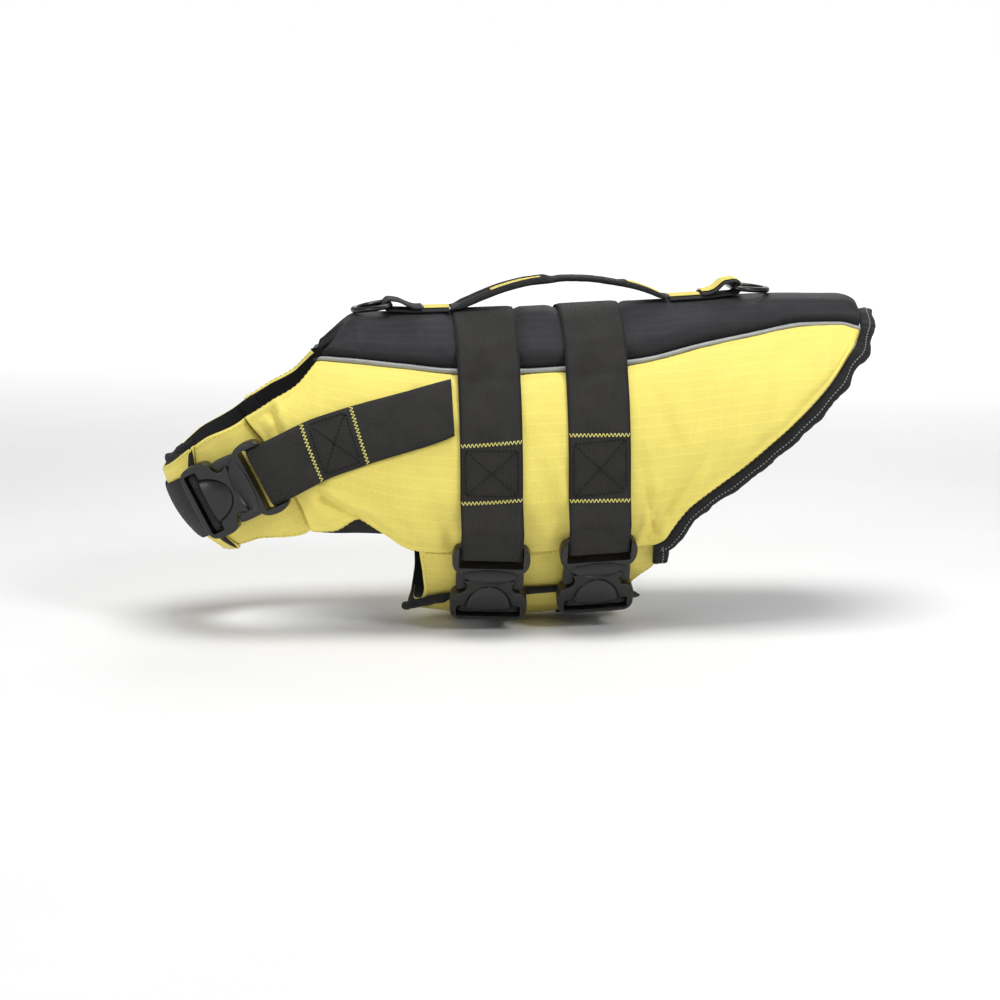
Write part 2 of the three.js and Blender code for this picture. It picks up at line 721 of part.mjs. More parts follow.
function slab(shape, bottom, top, bevel) {
  const depth = top - bottom - 2 * bevel;
  const geometry = new THREE.ExtrudeGeometry(shape, {
    depth,
    bevelEnabled: bevel > 0,
    bevelThickness: bevel,
    bevelSize: bevel,
    bevelOffset: -bevel,
    bevelSegments: 1,
    curveSegments: 6,
  });
  return geometry.translate(0, 0, bottom + bevel);
}

function solidOf(geometry) {
  const bare = geometry.index ? geometry.toNonIndexed() : geometry.clone();
  bare.deleteAttribute("normal");
  bare.deleteAttribute("uv");
  const merged = mergeVertices(bare, 1e-3);
  return new wasm.Manifold(
    new wasm.Mesh({
      numProp: 3,
      vertProperties: merged.attributes.position.array,
      triVerts: new Uint32Array(merged.index.array),
    }),
  );
}

function geometryOf(solid) {
  const mesh = solid.getMesh();
  const geometry = new THREE.BufferGeometry();
  geometry.setAttribute("position", new THREE.Float32BufferAttribute(mesh.vertProperties, 3));
  geometry.setIndex([...mesh.triVerts]);
  return geometry;
}

const boxAt = (x, y, z, width, length, height) =>
  new THREE.BoxGeometry(width, length, height).translate(x, y, z);

// A cut through the whole thickness over a stretch of y.
const slotThrough = (from, to) =>
  solidOf(boxAt(0, (from + to) / 2, 0, 2 * BUCKLE.slotHalf, to - from, 30));

function femaleBuckle() {
  const body = outline([
    [7, -0.6], [13.6, 0], [15.6, -0.9], [13.8, -4.2], [14, -7.6], [16.2, -9.8], [20.4, -10.8],
    [22.8, -12.8], [23.7, -17], [23.7, -24], [22.8, -28.2], [20.4, -30.6], [16.5, -31.5],
  ]);
  const dome = outline([[2.8, -4.8], [6, -7.2], [9.6, -12.4], [12.6, -19.4]]);
  const thumb = solidOf(slab(dome, 2.4, 6.2, 1.2));
  const slot = slotThrough(BUCKLE.femaleSlotLow, BUCKLE.femaleSlotHigh);
  const bar = solidOf(boxAt(0, -24.1, -0.4, 2 * BUCKLE.slotHalf + 2, 2.4, 2.4));
  return geometryOf(solidOf(slab(body, -4.5, 4.5, 1)).subtract(slot).add(thumb).add(bar));
}

function maleBuckle() {
  const frame = outline([
    [8, 0.3], [14, 0.9], [18, 1.4], [20, 2.6], [22.2, 6], [23.7, 10.4], [24, 16], [23.4, 21],
    [21.6, 24.2], [18.8, 25.5],
  ]);
  const plate = solidOf(slab(frame, -3, 3.6, 1.2));
  const slot = slotThrough(BUCKLE.maleSlotLow, BUCKLE.maleSlotHigh);
  const above = solidOf(boxAt(0, 22, 10 + 1.4, 2 * BUCKLE.slotHalf, 12, 20));
  const below = solidOf(boxAt(0, 22, -10 - 1.4, 2 * BUCKLE.slotHalf, 12, 20));
  const top = solidOf(boxAt(0, 25.2, 0, 2 * BUCKLE.slotHalf, 4, 20));
  const prongPoints = [
    [17.4, 4], [20, 4], [20.8, -1], [20.6, -8], [19, -9.4], [16, -8.6], [14.4, -6.8], [14.2, -4.8],
    [16.2, -1.4],
  ];
  const prong = new THREE.Shape(prongPoints.map(([x, y]) => new THREE.Vector2(x, y)));
  const right = slab(prong, -2.4, 2.4, 0.7);
  const left = right.clone().rotateY(Math.PI);
  const bare = plate.subtract(slot).subtract(above).subtract(below).subtract(top);
  return geometryOf(bare.add(solidOf(right)).add(solidOf(left)));
}

// A frame at a spot of the form: z outwards, y along a direction of travel.
function frameAt(spot, lift, forwards) {
  const out = outwards(spot.station, spot.around);
  const y = forwards.clone().addScaledVector(out, -forwards.dot(out)).normalize();
  const x = y.clone().cross(out).normalize();
  return new THREE.Matrix4().makeBasis(x, y, out).setPosition(lifted(spot.station, spot.around, lift));
}

const femaleFlat = femaleBuckle();
const maleFlat = maleBuckle();

function addBuckle(name, frame) {
  addPiece(name + "_female", "plastic", femaleFlat).applyMatrix4(frame);
  addPiece(name + "_male", "plastic", maleFlat).applyMatrix4(frame);
}

// Webbing where it passes round a buckle's bar, in the buckle's frame: y and z of the middle line.
const MALE_LOOP = [
  { y: 36, z: 2.5 },
  { y: 29, z: 2.7 },
  { y: 23, z: 2.7 },
  { y: 17.6, z: 2.7 },
  { y: 15.3, z: 2 },
  { y: 14.6, z: 0 },
  { y: 15.3, z: -2 },
  { y: 17.6, z: -2.7 },
  { y: 25, z: -2.7 },
];
const FEMALE_LOOP = [
  { y: -36, z: -5.7 },
  { y: -31, z: -5.8 },
  { y: -28.3, z: -5.7 },
  { y: -27, z: -4.6 },
  { y: -26.7, z: -2.2 },
  { y: -26.7, z: 0.2 },
  { y: -26.1, z: 1.7 },
  { y: -24.4, z: 2.2 },
  { y: -22.5, z: 1.9 },
  { y: -21.6, z: 0.6 },
  { y: -21.5, z: -1.8 },
  { y: -21.9, z: -3.8 },
];
const acrossSteps = [-1, 0, 1];
const loopRows = (loop, frame) =>
  loop.map(({ y, z }) =>
    acrossSteps.map((step) => new THREE.Vector3((step * WEBBING) / 2, y, z).applyMatrix4(frame)),
  );

// Belts round the trunk

const edgeAroundAt = smoothCurve(
  PANEL_LINES.slice(NECK_LINE).map((row) => row.edgeX),
  spots.edge.slice(NECK_LINE).map((spot) => spot.around),
);

const GIRTH = 215; // millimetres round the trunk for one whole unit of around

// Height of the pieces' outer face under a belt. Below the far side panel it lies on the far flap.
function beltLift(x, around) {
  const side = Math.abs(around);
  const seamAt = edgeAroundAt(x);
  const toSeam = Math.abs(side - seamAt) * GIRTH;
  const toLow = (lowAround(clamp(x, -122, 23)) - side) * GIRTH;
  if (side < seamAt) return padding(BACK_FOAM, toSeam) - BELT_DENT.back;
  if (toLow > 0) return Math.min(padding(SIDE_FOAM, toSeam), padding(SIDE_FOAM, toLow)) - BELT_DENT.side;
  return around < 0 ? farFlapLift(2 + around) + FLAP_THICK : FOAM_EDGE;
}

// The belt's height: near the highest point under a stretch of it, as it lies tight over what it crosses.
function tightLift(x, around) {
  const reach = 0.045;
  const heights = many(9, (i) => beltLift(x, around + mix(-reach, reach, i / 8)));
  const mean = heights.reduce((sum, height) => sum + height, 0) / heights.length;
  return Math.max(beltLift(x, around), mix(mean, Math.max(...heights), 0.6));
}

const beltRow = (x, around, lift) =>
  acrossSteps.map((step) => {
    const at = x + (step * WEBBING) / 2;
    return lifted(stationAt(at, around, lift), around, lift);
  });

const BUCKLE_AROUND = 0.712;
const BUCKLE_LIFT = 10.6;
const BELT_START = 0.53; // how far round the near side a belt leaves its buckle
const BELT_END = -1.12; // where it comes up to the buckle from under the belly

function addBelt(name, x) {
  const spot = { station: stationAt(x, BUCKLE_AROUND, BUCKLE_LIFT), around: BUCKLE_AROUND };
  const up = slopesAt(spot.station, spot.around).round.negate();
  const frame = frameAt(spot, BUCKLE_LIFT, up);
  addBuckle("buckle_" + name, frame);
  const clear = SEAM + 0.5 + WEBBING_THICK / 2;
  const arounds = many(54, (i) => mix(BELT_START, BELT_END, i / 53));
  const body = arounds.map((around) => beltRow(x, around, tightLift(x, around) + clear));
  const rows = [...loopRows(MALE_LOOP, frame).reverse(), ...body, ...loopRows(FEMALE_LOOP, frame)];
  addPiece("belt_" + name, "webbing", sheet(rows, WEBBING_THICK));
}

// Chest strap

const strapLine = curvesOf(CHEST_STRAP_LINE, ["station", "around"]);
const STRAP_LAST = CHEST_STRAP_LINE.length - 1;

// A spot of the strap's middle line. Past the last row it runs back along the far side.
function strapSpot(at) {
  const mirror = at > STRAP_LAST;
  const row = mirror ? 2 * STRAP_LAST - at : at;
  const around = strapLine.around(row);
  return { station: strapLine.station(row), around: mirror ? 2 - around : around };
}

function strapRow(at, lift) {
  const spot = strapSpot(at);
  const ahead = strapSpot(at + 0.02);
  const behind = strapSpot(at - 0.02);
  const run = form(ahead.station, ahead.around).sub(form(behind.station, behind.around)).normalize();
  const across = outwards(spot.station, spot.around).cross(run).normalize();
  // The end under the belt is cut along the belt's edge.
  const upright = clamp(1 - Math.min(at, 2 * STRAP_LAST - at) / 0.5, 0, 1);
  const down = slopesAt(spot.station, spot.around).round.normalize().multiplyScalar(at > STRAP_LAST ? -1 : 1);
  across.lerp(down, 0.8 * upright).normalize();
  return acrossSteps.map((step) => {
    const there = walk(spot, across, (step * WEBBING) / 2, lift);
    return lifted(there.station, there.around, lift);
  });
}

const SIDE_TOP = SIDE_FOAM + SEAM + 0.3 + WEBBING_THICK / 2;
const CHEST_RISE = CHEST_THICK + 0.6;
const CHEST_TOP = CHEST_RISE + CHEST_THICK + SEAM + 0.7 + WEBBING_THICK / 2;
const CHEST_BUCKLE_LIFT = 12.4;

function addChestStrap() {
  const back = strapSpot(CHEST_BUCKLE_ROW - 0.6);
  const front = strapSpot(CHEST_BUCKLE_ROW + 0.6);
  const forwards = lifted(back.station, back.around, 12).sub(lifted(front.station, front.around, 12));
  const frame = frameAt(strapSpot(CHEST_BUCKLE_ROW), CHEST_BUCKLE_LIFT, forwards);
  addBuckle("buckle_chest", frame);
  const near = many(14, (i) => mix(0, 3.5, i / 13)).map((at) => strapRow(at, SIDE_TOP));
  addPiece("chest_strap_near", "webbing", sheet([...near, ...loopRows(MALE_LOOP, frame)], WEBBING_THICK));
  const lifts = [SIDE_TOP, SIDE_TOP, SIDE_TOP - 2, CHEST_TOP, CHEST_TOP];
  const liftOf = smoothCurve([0, 3, 5, 6.6, 13], lifts);
  const far = many(30, (i) => mix(0, 12.2, i / 29)).map((at) => strapRow(2 * STRAP_LAST - at, liftOf(at)));
  addPiece("chest_strap_far", "webbing", sheet([...far, ...loopRows(FEMALE_LOOP, frame)], WEBBING_THICK));
}

// The strip along the spine, its ribbon, the handle and the rings

// Height of the back panel on the spine.
const spineZ = (x) => lifted(stationAt(x, 0, BACK_FOAM), 0, BACK_FOAM).z;
const SPINE_BOW = 2 * 72; // the back falls away to each side by y squared over this

// The two ends of the strip: where its flat part starts, where the ring's bar lies, which way it points,
// the play between bar and webbing, how far the ring's bow hangs below its bar, and whether the ribbon
// goes on over the loop.
const STRIP_ENDS = {
  front: { startX: -98.6, barX: -135.6, towards: -1, play: 0.8, drop: 3.6, ribbonOnLoop: false },
  rear: { startX: 38.8, barX: 79, towards: 1, play: 1.5, drop: 2.2, ribbonOnLoop: true },
};

// A band across the spine from a list of { x, z, width, bow }. A bow of 1 follows the back's curve.
function spineBand(line, thick) {
  const rows = line.map(({ x, z, width, bow }) =>
    [-1, -0.5, 0, 0.5, 1].map((step) => {
      const y = (-step * width) / 2;
      return new THREE.Vector3(x, y, z - (bow * y * y) / SPINE_BOW);
    }),
  );
  return sheet(rows, thick);
}

const ringBar = (end) => ({
  x: end.barX,
  z: spineZ(end.barX) + SEAM + STRIP_THICK + end.play + RING_RADIUS,
});

// The folded end of the strip: along the back, round the ring's bar, and back on itself.
// The loop is straight across, so that the bar can turn in it.
function stripWithLoop(end) {
  const { startX, barX, towards } = end;
  const bottom = SEAM + STRIP_THICK / 2;
  const eye = RING_RADIUS + end.play + STRIP_THICK / 2;
  const bar = ringBar(end);
  const bows = [1, 1, 0.9, 0.15];
  const flat = bows.map((bow, i) => {
    const x = mix(startX, barX - towards * 3, i / 3);
    return { x, z: spineZ(x) + bottom, bow };
  });
  const turn = many(7, (i) => -Math.PI / 2 + (Math.PI * i) / 6).map((angle) => ({
    x: bar.x + towards * eye * Math.cos(angle),
    z: bar.z + eye * Math.sin(angle),
    bow: 0.15,
  }));
  const top = bottom + STRIP_THICK + SEAM;
  const foldAt = (off, rise, bow) => {
    const x = barX - towards * off;
    return { x, z: spineZ(x) + top + rise, bow };
  };
  const back = [
    { x: barX - towards * 5, z: bar.z + eye * 0.8, bow: 0.15 },
    foldAt(11, 1.4, 0.5),
    foldAt(16, 0, 0.92),
    foldAt(20, 0, 1),
  ];
  return [...flat, ...turn, ...back].map((point) => ({ ...point, width: STRIP_WIDTH }));
}

// The same line, further out by a distance, and with a width of its own.
function outside(line, distance, width) {
  return line.map((point, i) => {
    const before = line[Math.max(0, i - 1)];
    const after = line[Math.min(line.length - 1, i + 1)];
    const run = new THREE.Vector2(after.x - before.x, after.z - before.z).normalize();
    const side = Math.sign(line[0].x - line[line.length - 1].x);
    const x = point.x + side * run.y * distance;
    const z = point.z - side * run.x * distance;
    return { ...point, x, z, width };
  });
}

// The yellow ribbon on the strip, in two lengths: over the loop's top, and on the flat beside it.
const RIBBON_LIFT = STRIP_THICK / 2 + 0.4 + RIBBON_THICK / 2;
const ribbonOnLoop = (end) => outside(stripWithLoop(end).slice(8), RIBBON_LIFT, RIBBON_WIDTH);

function ribbonOnFlat(end) {
  const foldX = end.barX - end.towards * 21;
  const z = SEAM + STRIP_THICK / 2 + RIBBON_LIFT;
  const xs = many(3, (i) => mix(end.startX, foldX, i / 2));
  return xs.map((x) => ({ x, z: spineZ(x) + z, width: RIBBON_WIDTH, bow: 1 }));
}

// How far the handle follows the back's curve: wholly where it is sewn down, not at all where it stands up.
const handleBow = (row) => clamp(1 - Math.min(row, HANDLE_LINE.length - 1 - row) / 2.5, 0, 1);

function handle() {
  const columns = curvesOf(HANDLE_LINE, ["x", "z", "width", "thick"]);
  const last = HANDLE_LINE.length - 1;
  const count = 22;
  const at = (i) => mix(0, last, clamp(i / (count - 1), 0, 1));
  const rows = many(count, (i) => {
    const row = at(i);
    const ahead = new THREE.Vector2(columns.x(row + 0.05), columns.z(row + 0.05));
    const behind = new THREE.Vector2(columns.x(row - 0.05), columns.z(row - 0.05));
    const tangent = ahead.sub(behind).normalize();
    const bow = handleBow(row);
    const point = (across, up) => {
      const y = (across * columns.width(row)) / 2;
      const rise = (up * columns.thick(row)) / 2;
      return new THREE.Vector3(
        columns.x(row) - tangent.y * rise,
        y,
        columns.z(row) + tangent.x * rise - (bow * y * y) / SPINE_BOW,
      );
    };
    const profile = [[-1, 0.3], [-0.8, 0.92], [-0.35, 1], [0.35, 1], [0.8, 0.92], [1, 0.3]];
    return {
      outer: profile.map(([across, up]) => point(across, up)),
      inner: profile.map(([across, up]) => point(across, -up)),
    };
  });
  return shell(rows);
}

// The ribbon on the handle, in two lengths: the grip's fold covers it between them.
function handleRibbon(from, to) {
  const columns = curvesOf(HANDLE_LINE, ["x", "z", "thick"]);
  const line = many(8, (i) => {
    const row = mix(from, to, i / 7);
    const ahead = new THREE.Vector2(columns.x(row + 0.05), columns.z(row + 0.05));
    const run = ahead.sub(new THREE.Vector2(columns.x(row - 0.05), columns.z(row - 0.05))).normalize();
    const rise = columns.thick(row) / 2 + 0.4 + RIBBON_THICK / 2;
    const x = columns.x(row) - run.y * rise;
    return { x, z: columns.z(row) + run.x * rise, width: RIBBON_WIDTH - 2, bow: handleBow(row) };
  });
  return spineBand(line, RIBBON_THICK);
}

// A D ring: a straight bar across the spine and a bow that lies on the back.
function ring(end) {
  const { towards, drop } = end;
  const bar = ringBar(end);
  const half = RING_WIDTH / 2 - RING_RADIUS;
  const depth = RING_DEPTH - 2 * RING_RADIUS;
  const bend = 4;
  const line = [];
  for (let i = 0; i <= 2; i++) {
    const angle = Math.PI + (Math.PI / 2) * (i / 2);
    line.push(new THREE.Vector2(bend + bend * Math.cos(angle), -half + bend + bend * Math.sin(angle)));
  }
  for (let i = 0; i <= 12; i++) {
    const angle = -Math.PI / 2 + (Math.PI * i) / 12;
    line.push(new THREE.Vector2(bend + 2 + (depth - bend - 2) * Math.cos(angle), half * Math.sin(angle)));
  }
  for (let i = 0; i <= 2; i++) {
    const angle = Math.PI / 2 + (Math.PI / 2) * (i / 2);
    line.push(new THREE.Vector2(bend + bend * Math.cos(angle), half - bend + bend * Math.sin(angle)));
  }
  const tilt = Math.atan2(drop, depth);
  const place = (along, y, up) =>
    new THREE.Vector3(
      bar.x + towards * (along * Math.cos(tilt) + up * Math.sin(tilt)),
      y,
      bar.z - along * Math.sin(tilt) + up * Math.cos(tilt),
    );
  const sides = 8;
  const rows = line.map((point, i) => {
    const before = line[(i + line.length - 1) % line.length];
    const after = line[(i + 1) % line.length];
    const run = after.clone().sub(before).normalize();
    const at = (turn) =>
      place(
        point.x + run.y * RING_RADIUS * Math.cos(turn),
        point.y - run.x * RING_RADIUS * Math.cos(turn),
        RING_RADIUS * Math.sin(turn),
      );
    const half = many(sides / 2, (k) => (2 * Math.PI * (k + 0.5)) / sides);
    return { outer: half.map(at), inner: half.map((turn) => at(-turn)) };
  });
  return shell(rows, true);
}

function addSpineStrip() {
  for (const [name, end] of Object.entries(STRIP_ENDS)) {
    addPiece("strip_" + name, "binding", spineBand(stripWithLoop(end), STRIP_THICK));
    if (end.ribbonOnLoop) {
      addPiece("ribbon_" + name + "_loop", "yellow", spineBand(ribbonOnLoop(end), RIBBON_THICK));
    }
    addPiece("ribbon_" + name + "_flat", "yellow", spineBand(ribbonOnFlat(end), RIBBON_THICK));
    addPiece("ring_" + name, "metal", ring(end));
  }
  addPiece("handle", "binding", handle());
  addPiece("ribbon_handle_front", "yellow", handleRibbon(3.4, 5.7));
  addPiece("ribbon_handle_rear", "yellow", handleRibbon(9.6, 12));
}

// The whole jacket

addPiece("back_panel", "dark", backPanel());
addPair("side_panel", "yellow", sidePanel());
addPair("piping", "piping", piping());
addPiece("hem_binding", "binding", hemBinding());
addPiece("chest_flap_near", "yellow", chestFlap({ neck: 1.14, low: 1.1 }, 0, 1, 0));
addPiece("chest_flap_far", "yellow", mirrored(chestFlap({ neck: 1.28, low: 1.13 }, 0.74, 0.86, CHEST_RISE)));
addPair("armhole_lining", "dark", armholeLining());
addPiece("belly_flap_near", "yellow", nearFlap());
addPiece("belly_flap_far", "yellow", farFlap());
addPiece("belly_flap_edge", "binding", flapBinding());
addBelt("front", BELT_X.front);
addBelt("rear", BELT_X.rear);
addChestStrap();
addSpineStrip();

export default jacket;
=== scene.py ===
# A dog's buoyancy jacket, closed as it is worn. The frame is in metres; the tables below are in millimetres.
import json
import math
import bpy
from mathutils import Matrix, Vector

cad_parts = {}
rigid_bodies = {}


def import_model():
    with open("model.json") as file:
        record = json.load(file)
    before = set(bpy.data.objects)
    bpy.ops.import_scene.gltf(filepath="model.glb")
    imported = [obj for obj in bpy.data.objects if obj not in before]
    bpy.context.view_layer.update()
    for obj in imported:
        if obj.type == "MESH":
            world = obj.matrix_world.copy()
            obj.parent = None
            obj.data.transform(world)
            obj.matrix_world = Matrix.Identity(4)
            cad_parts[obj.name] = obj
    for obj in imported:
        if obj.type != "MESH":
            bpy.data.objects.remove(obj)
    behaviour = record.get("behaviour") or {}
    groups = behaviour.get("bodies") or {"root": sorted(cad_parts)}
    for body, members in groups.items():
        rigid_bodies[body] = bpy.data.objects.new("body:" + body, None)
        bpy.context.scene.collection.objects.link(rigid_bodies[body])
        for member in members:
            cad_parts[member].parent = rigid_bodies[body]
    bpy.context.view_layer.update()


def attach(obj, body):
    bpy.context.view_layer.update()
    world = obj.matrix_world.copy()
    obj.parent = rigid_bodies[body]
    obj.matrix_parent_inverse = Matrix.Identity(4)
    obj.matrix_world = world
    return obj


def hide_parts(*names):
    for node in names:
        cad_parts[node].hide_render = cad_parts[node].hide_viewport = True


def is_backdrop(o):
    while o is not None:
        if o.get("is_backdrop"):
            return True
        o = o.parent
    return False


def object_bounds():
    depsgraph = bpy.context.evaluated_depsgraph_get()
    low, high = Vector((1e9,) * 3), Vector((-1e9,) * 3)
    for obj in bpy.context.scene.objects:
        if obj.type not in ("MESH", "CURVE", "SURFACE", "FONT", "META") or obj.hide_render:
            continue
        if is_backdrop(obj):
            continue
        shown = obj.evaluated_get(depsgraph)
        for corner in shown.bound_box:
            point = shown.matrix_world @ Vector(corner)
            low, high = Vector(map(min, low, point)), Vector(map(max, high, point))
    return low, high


bl_info = {
    "name": "Dog buoyancy jacket",
    "version": (1, 0, 0),
    "blender": (4, 5, 0),
    "location": "3D View > Sidebar > Jacket",
    "description": "Builds a padded buoyancy jacket for a dog, piece by piece",
    "category": "Object",
}

import bpy
import numpy as np
from mathutils import Matrix, Vector

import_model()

MM = 0.001
BACK_FOAM = 14.0
SIDE_FOAM = 9.5
FOAM_EDGE = 4.6
FOAM_ROUNDING = 13.0
SEAM = 0.4
CHEST_THICK = 2.0
FLAP_THICK = 2.0
PIPING_RADIUS = 1.5
BELT_DENT = {"back": 2.0, "side": 1.2}
BELT_X = {"front": -78.0, "rear": -12.3}
WEBBING = 38.0
WEBBING_THICK = 1.6
STRIP_WIDTH = 28.0
STRIP_THICK = 1.6
RIBBON_WIDTH = 19.0
RIBBON_THICK = 0.6
RING_RADIUS = 1.7
RING_WIDTH = 37.0
RING_DEPTH = 26.0
GIRTH = 215.0
SPINE_BOW = 144.0

# The body form inside the jacket, section by section, from the spine (top) to the chest or belly (low):
# top x and z, low x and z, half width.
SECTIONS = (
    (-174, -5, -273, -84, 44),
    (-168, -4, -264, -107, 47),
    (-159, -4, -242, -131, 51),
    (-141, -4, -190, -150, 57),
    (-112, -3.5, -125, -170, 63),
    (-60, -2, -60, -176, 66),
    (30, 2, 30, -165, 65),
    (110, 5.6, 110, -148, 61),
    (175, 4.4, 175, -138, 57),
)
# Lines across the panels in side view: the spine, the piping or neckline, and the lower edge or hem.
PANEL_COLUMNS = ("spineX", "edgeX", "edgeZ", "lowX", "lowZ")
PANEL_LINES = (
    (-164, -227, -49, -187, -121),
    (-164, -210, -38.5, -172, -120),
    (-164, -192, -27, -157, -112.5),
    (-164, -181, -14.5, -141, -122),
    (-150, -160, -15.3, -123, -132.5),
    (-124, -130, -18.3, -105, -133.5),
    (-98, -101, -21.2, -80, -133.5),
    (-58, -59, -21.6, -40, -133),
    (-20, -20, -19.4, 0, -132),
    (15, 15, -16, 23, -131),
    (52, 52, -8, 45, -106),
    (90, 90, -0.8, 76, -82.5),
    (122, 120, 3.8, 108, -55.5),
    (144, 142, 4, 132, -31),
    (159, 155, 1.2, 149, -9.5),
)
NECK_LINE = 3
ARMHOLE_LINE = 4
HEM_LINE = 9
LAST_LINE = len(PANEL_LINES) - 1
# The seam between a side panel and the chest band: share, x, z.
FRONT_SEAM = (
    (0, -227, -49), (0.14, -218.8, -59.4), (0.4, -207.6, -78), (0.68, -196.3, -97.7), (1, -187, -121),
)
# Creases of a side panel in side view: from x, z, to x, z, width, depth.
CREASES = (
    (-157, -110, -179, -97, 3.4, 5.0),
    (-138, -119, -150, -110, 3, 2.4),
    (-203, -64, -209, -47, 2.6, 3.8),
    (-56, -60, -36, -108, 4, 2.8),
    (12, -74, 22, -120, 4, 2.8),
    (56, -70, 30, -108, 5, 2.2),
    (-44, -96, -32, -126, 3, 2.0),
    (28, -92, 18, -124, 3, 2.2),
    (44, -92, 26, -112, 3, 1.6),
    (-112, -100, -100, -128, 4, 2.2),
    (-150, -96, -120, -124, 4, 1.6),
    (-192, -70, -180, -92, 4, 1.8),
    (78, -34, 64, -84, 6, 1.5),
    (104, -20, 92, -62, 6, 1.5),
    (-128, -30, -108, -52, 5, 1.5),
    (-46, -34, -38, -62, 5, 1.4),
    (20, -30, 34, -64, 6, 1.5),
)
# The chest band at the front: around, the form's station on the neck edge and on the lower edge.
CHEST_LINES = ((0.62, -0.1, 2.9), (0.72, -0.1, 2.62), (0.85, -0.04, 2.3), (1, 0, 2.1))
# The far belly flap's free edge: x, around.
FLAP_TONGUE = (
    (-125, 0.955), (-119, 0.895), (-98, 0.825), (-58, 0.795), (-25, 0.8), (-4, 0.83), (10, 0.88), (16, 0.96),
)
# The belly flaps' front and rear edges: around, front x, rear x.
FLAP_EDGES = (
    (0.66, -121, 24), (0.7, -119.5, 27.5), (0.73, -118.5, 27), (0.77, -117.5, 19),
    (0.82, -116.5, 13), (0.9, -117, 11), (1, -121, 13), (1.12, -119, 16),
)
# The chest strap's middle line: station, around.
CHEST_STRAP_LINE = (
    (4.32, 0.337), (3.65, 0.381), (3.11, 0.425), (2.44, 0.494), (2.08, 0.554), (1.88, 0.593),
    (1.66, 0.64), (1.4, 0.717), (1.24, 0.8), (1.17, 0.9), (1.15, 1),
)
STRAP_LAST = len(CHEST_STRAP_LINE) - 1
CHEST_BUCKLE_ROW = 6.0
# The handle's middle line: x, z, width, thickness.
HANDLE_LINE = (
    (-97.6, 12.7, 26, 2.2), (-92, 13.2, 26, 2.4), (-85, 15.4, 26, 2.6), (-76, 19, 26, 2.8),
    (-64, 23.4, 25, 3), (-50, 26.8, 22, 3.2), (-37, 28.4, 17, 4), (-24, 29.8, 15, 4.2), (-8, 29, 15, 4.2),
    (5, 27, 17, 4), (17, 24.4, 22, 3.2), (27, 21.2, 25, 2.8), (33, 19, 26, 2.4), (37.6, 18.6, 26, 2),
)
HANDLE_LAST = len(HANDLE_LINE) - 1
# The strip's two ends: start x, ring bar x, the way it points, play round the bar, how far the bow hangs,
# and whether the ribbon goes on over the loop.
STRIP_ENDS = {
    "front": {
        "start": -98.6, "bar": -135.6, "towards": -1, "play": 0.8, "drop": 3.6, "ribbon_on_loop": False,
    },
    "rear": {
        "start": 38.8, "bar": 79.0, "towards": 1, "play": 1.5, "drop": 2.2, "ribbon_on_loop": True,
    },
}
# The armhole linings in side view: x, upper z, lower z.
LINING_LINES = (
    (-186, -108, -121.5), (-172, -102, -122), (-157, -98, -121.5), (-144, -102, -121.8), (-133, -110, -122.5),
)
# Where the belly flaps' roots and the far flap's tip start and stop along the body: front x, rear x.
FLAP_ROOT_X = (-121.0, 24.0)
FLAP_TIP_X = (-125.0, 16.0)
# Height over the form at which the panels' side view is read.
PANEL_LIFT = 7
# The belt buckles' place round the form, and each buckle's height over it.
BUCKLE_AROUND = 0.712
BUCKLE_LIFT = 10.6
CHEST_BUCKLE_LIFT = 12.4
# Distance between a band's rows.
ROW_STEP = 1.6
# How far the solver halves its way to a spot, and the stations it looks between.
HALVINGS = 26
STATION_ENDS = (-0.6, 8.6)
# The cloth simulation: it runs on one row in this many, at this many metres for each millimetre.
COARSE = 3
CLOTH_SCALE = 0.01
# The soft lights: name, place, size and watts.
LIGHTS = (
    ("overhead", (0.0, -0.2, 1.2), 0.7, 13.4),
    ("front_right", (1.0, -1.5, 1.1), 0.45, 14.3),
    ("front_left", (-1.6, -1.2, 0.4), 0.7, 8.5),
    ("behind", (0.3, 1.5, 0.9), 1.0, 8.0),
)
LIGHT_TARGET = (-0.05, 0, -0.08)
WORLD_STRENGTH = 0.28
# The camera: degrees round and up, distance, what it looks at, and its lens in millimetres.
CAMERA_AZIMUTH = -5
CAMERA_ELEVATION = 9
CAMERA_DISTANCE = 1.9
CAMERA_TARGET = (-0.0664, 0, -0.110)
CAMERA_LENS = 108.6


def length_property(name, description, default):
    return bpy.props.FloatProperty(name=name, description=description, default=default, unit="LENGTH")


class JacketSizes(bpy.types.PropertyGroup):
    ripstop_grid: length_property("Ripstop grid", "Distance between the cloth's heavier threads", 0.0062)
    webbing_rib: length_property("Webbing rib", "Distance between the ribs of the webbing", 0.00125)
    stitch: length_property("Stitch", "Length of one stitch of the seams", 0.0027)
    thread: length_property("Thread", "Radius of the sewing thread", 0.00024)
    pucker: length_property("Pucker", "Depth of the small gathers along the seams", 0.0008)
    undulation: length_property("Undulation", "Depth of the soft waves in the padding", 0.00115)
    scallop: length_property("Scallop", "Length of one wave of the gathered hem", 0.023)


def colour_property(name, description, default):
    return bpy.props.FloatVectorProperty(
        name=name, description=description, default=default, size=3, min=0.0, max=1.0, subtype="COLOR"
    )


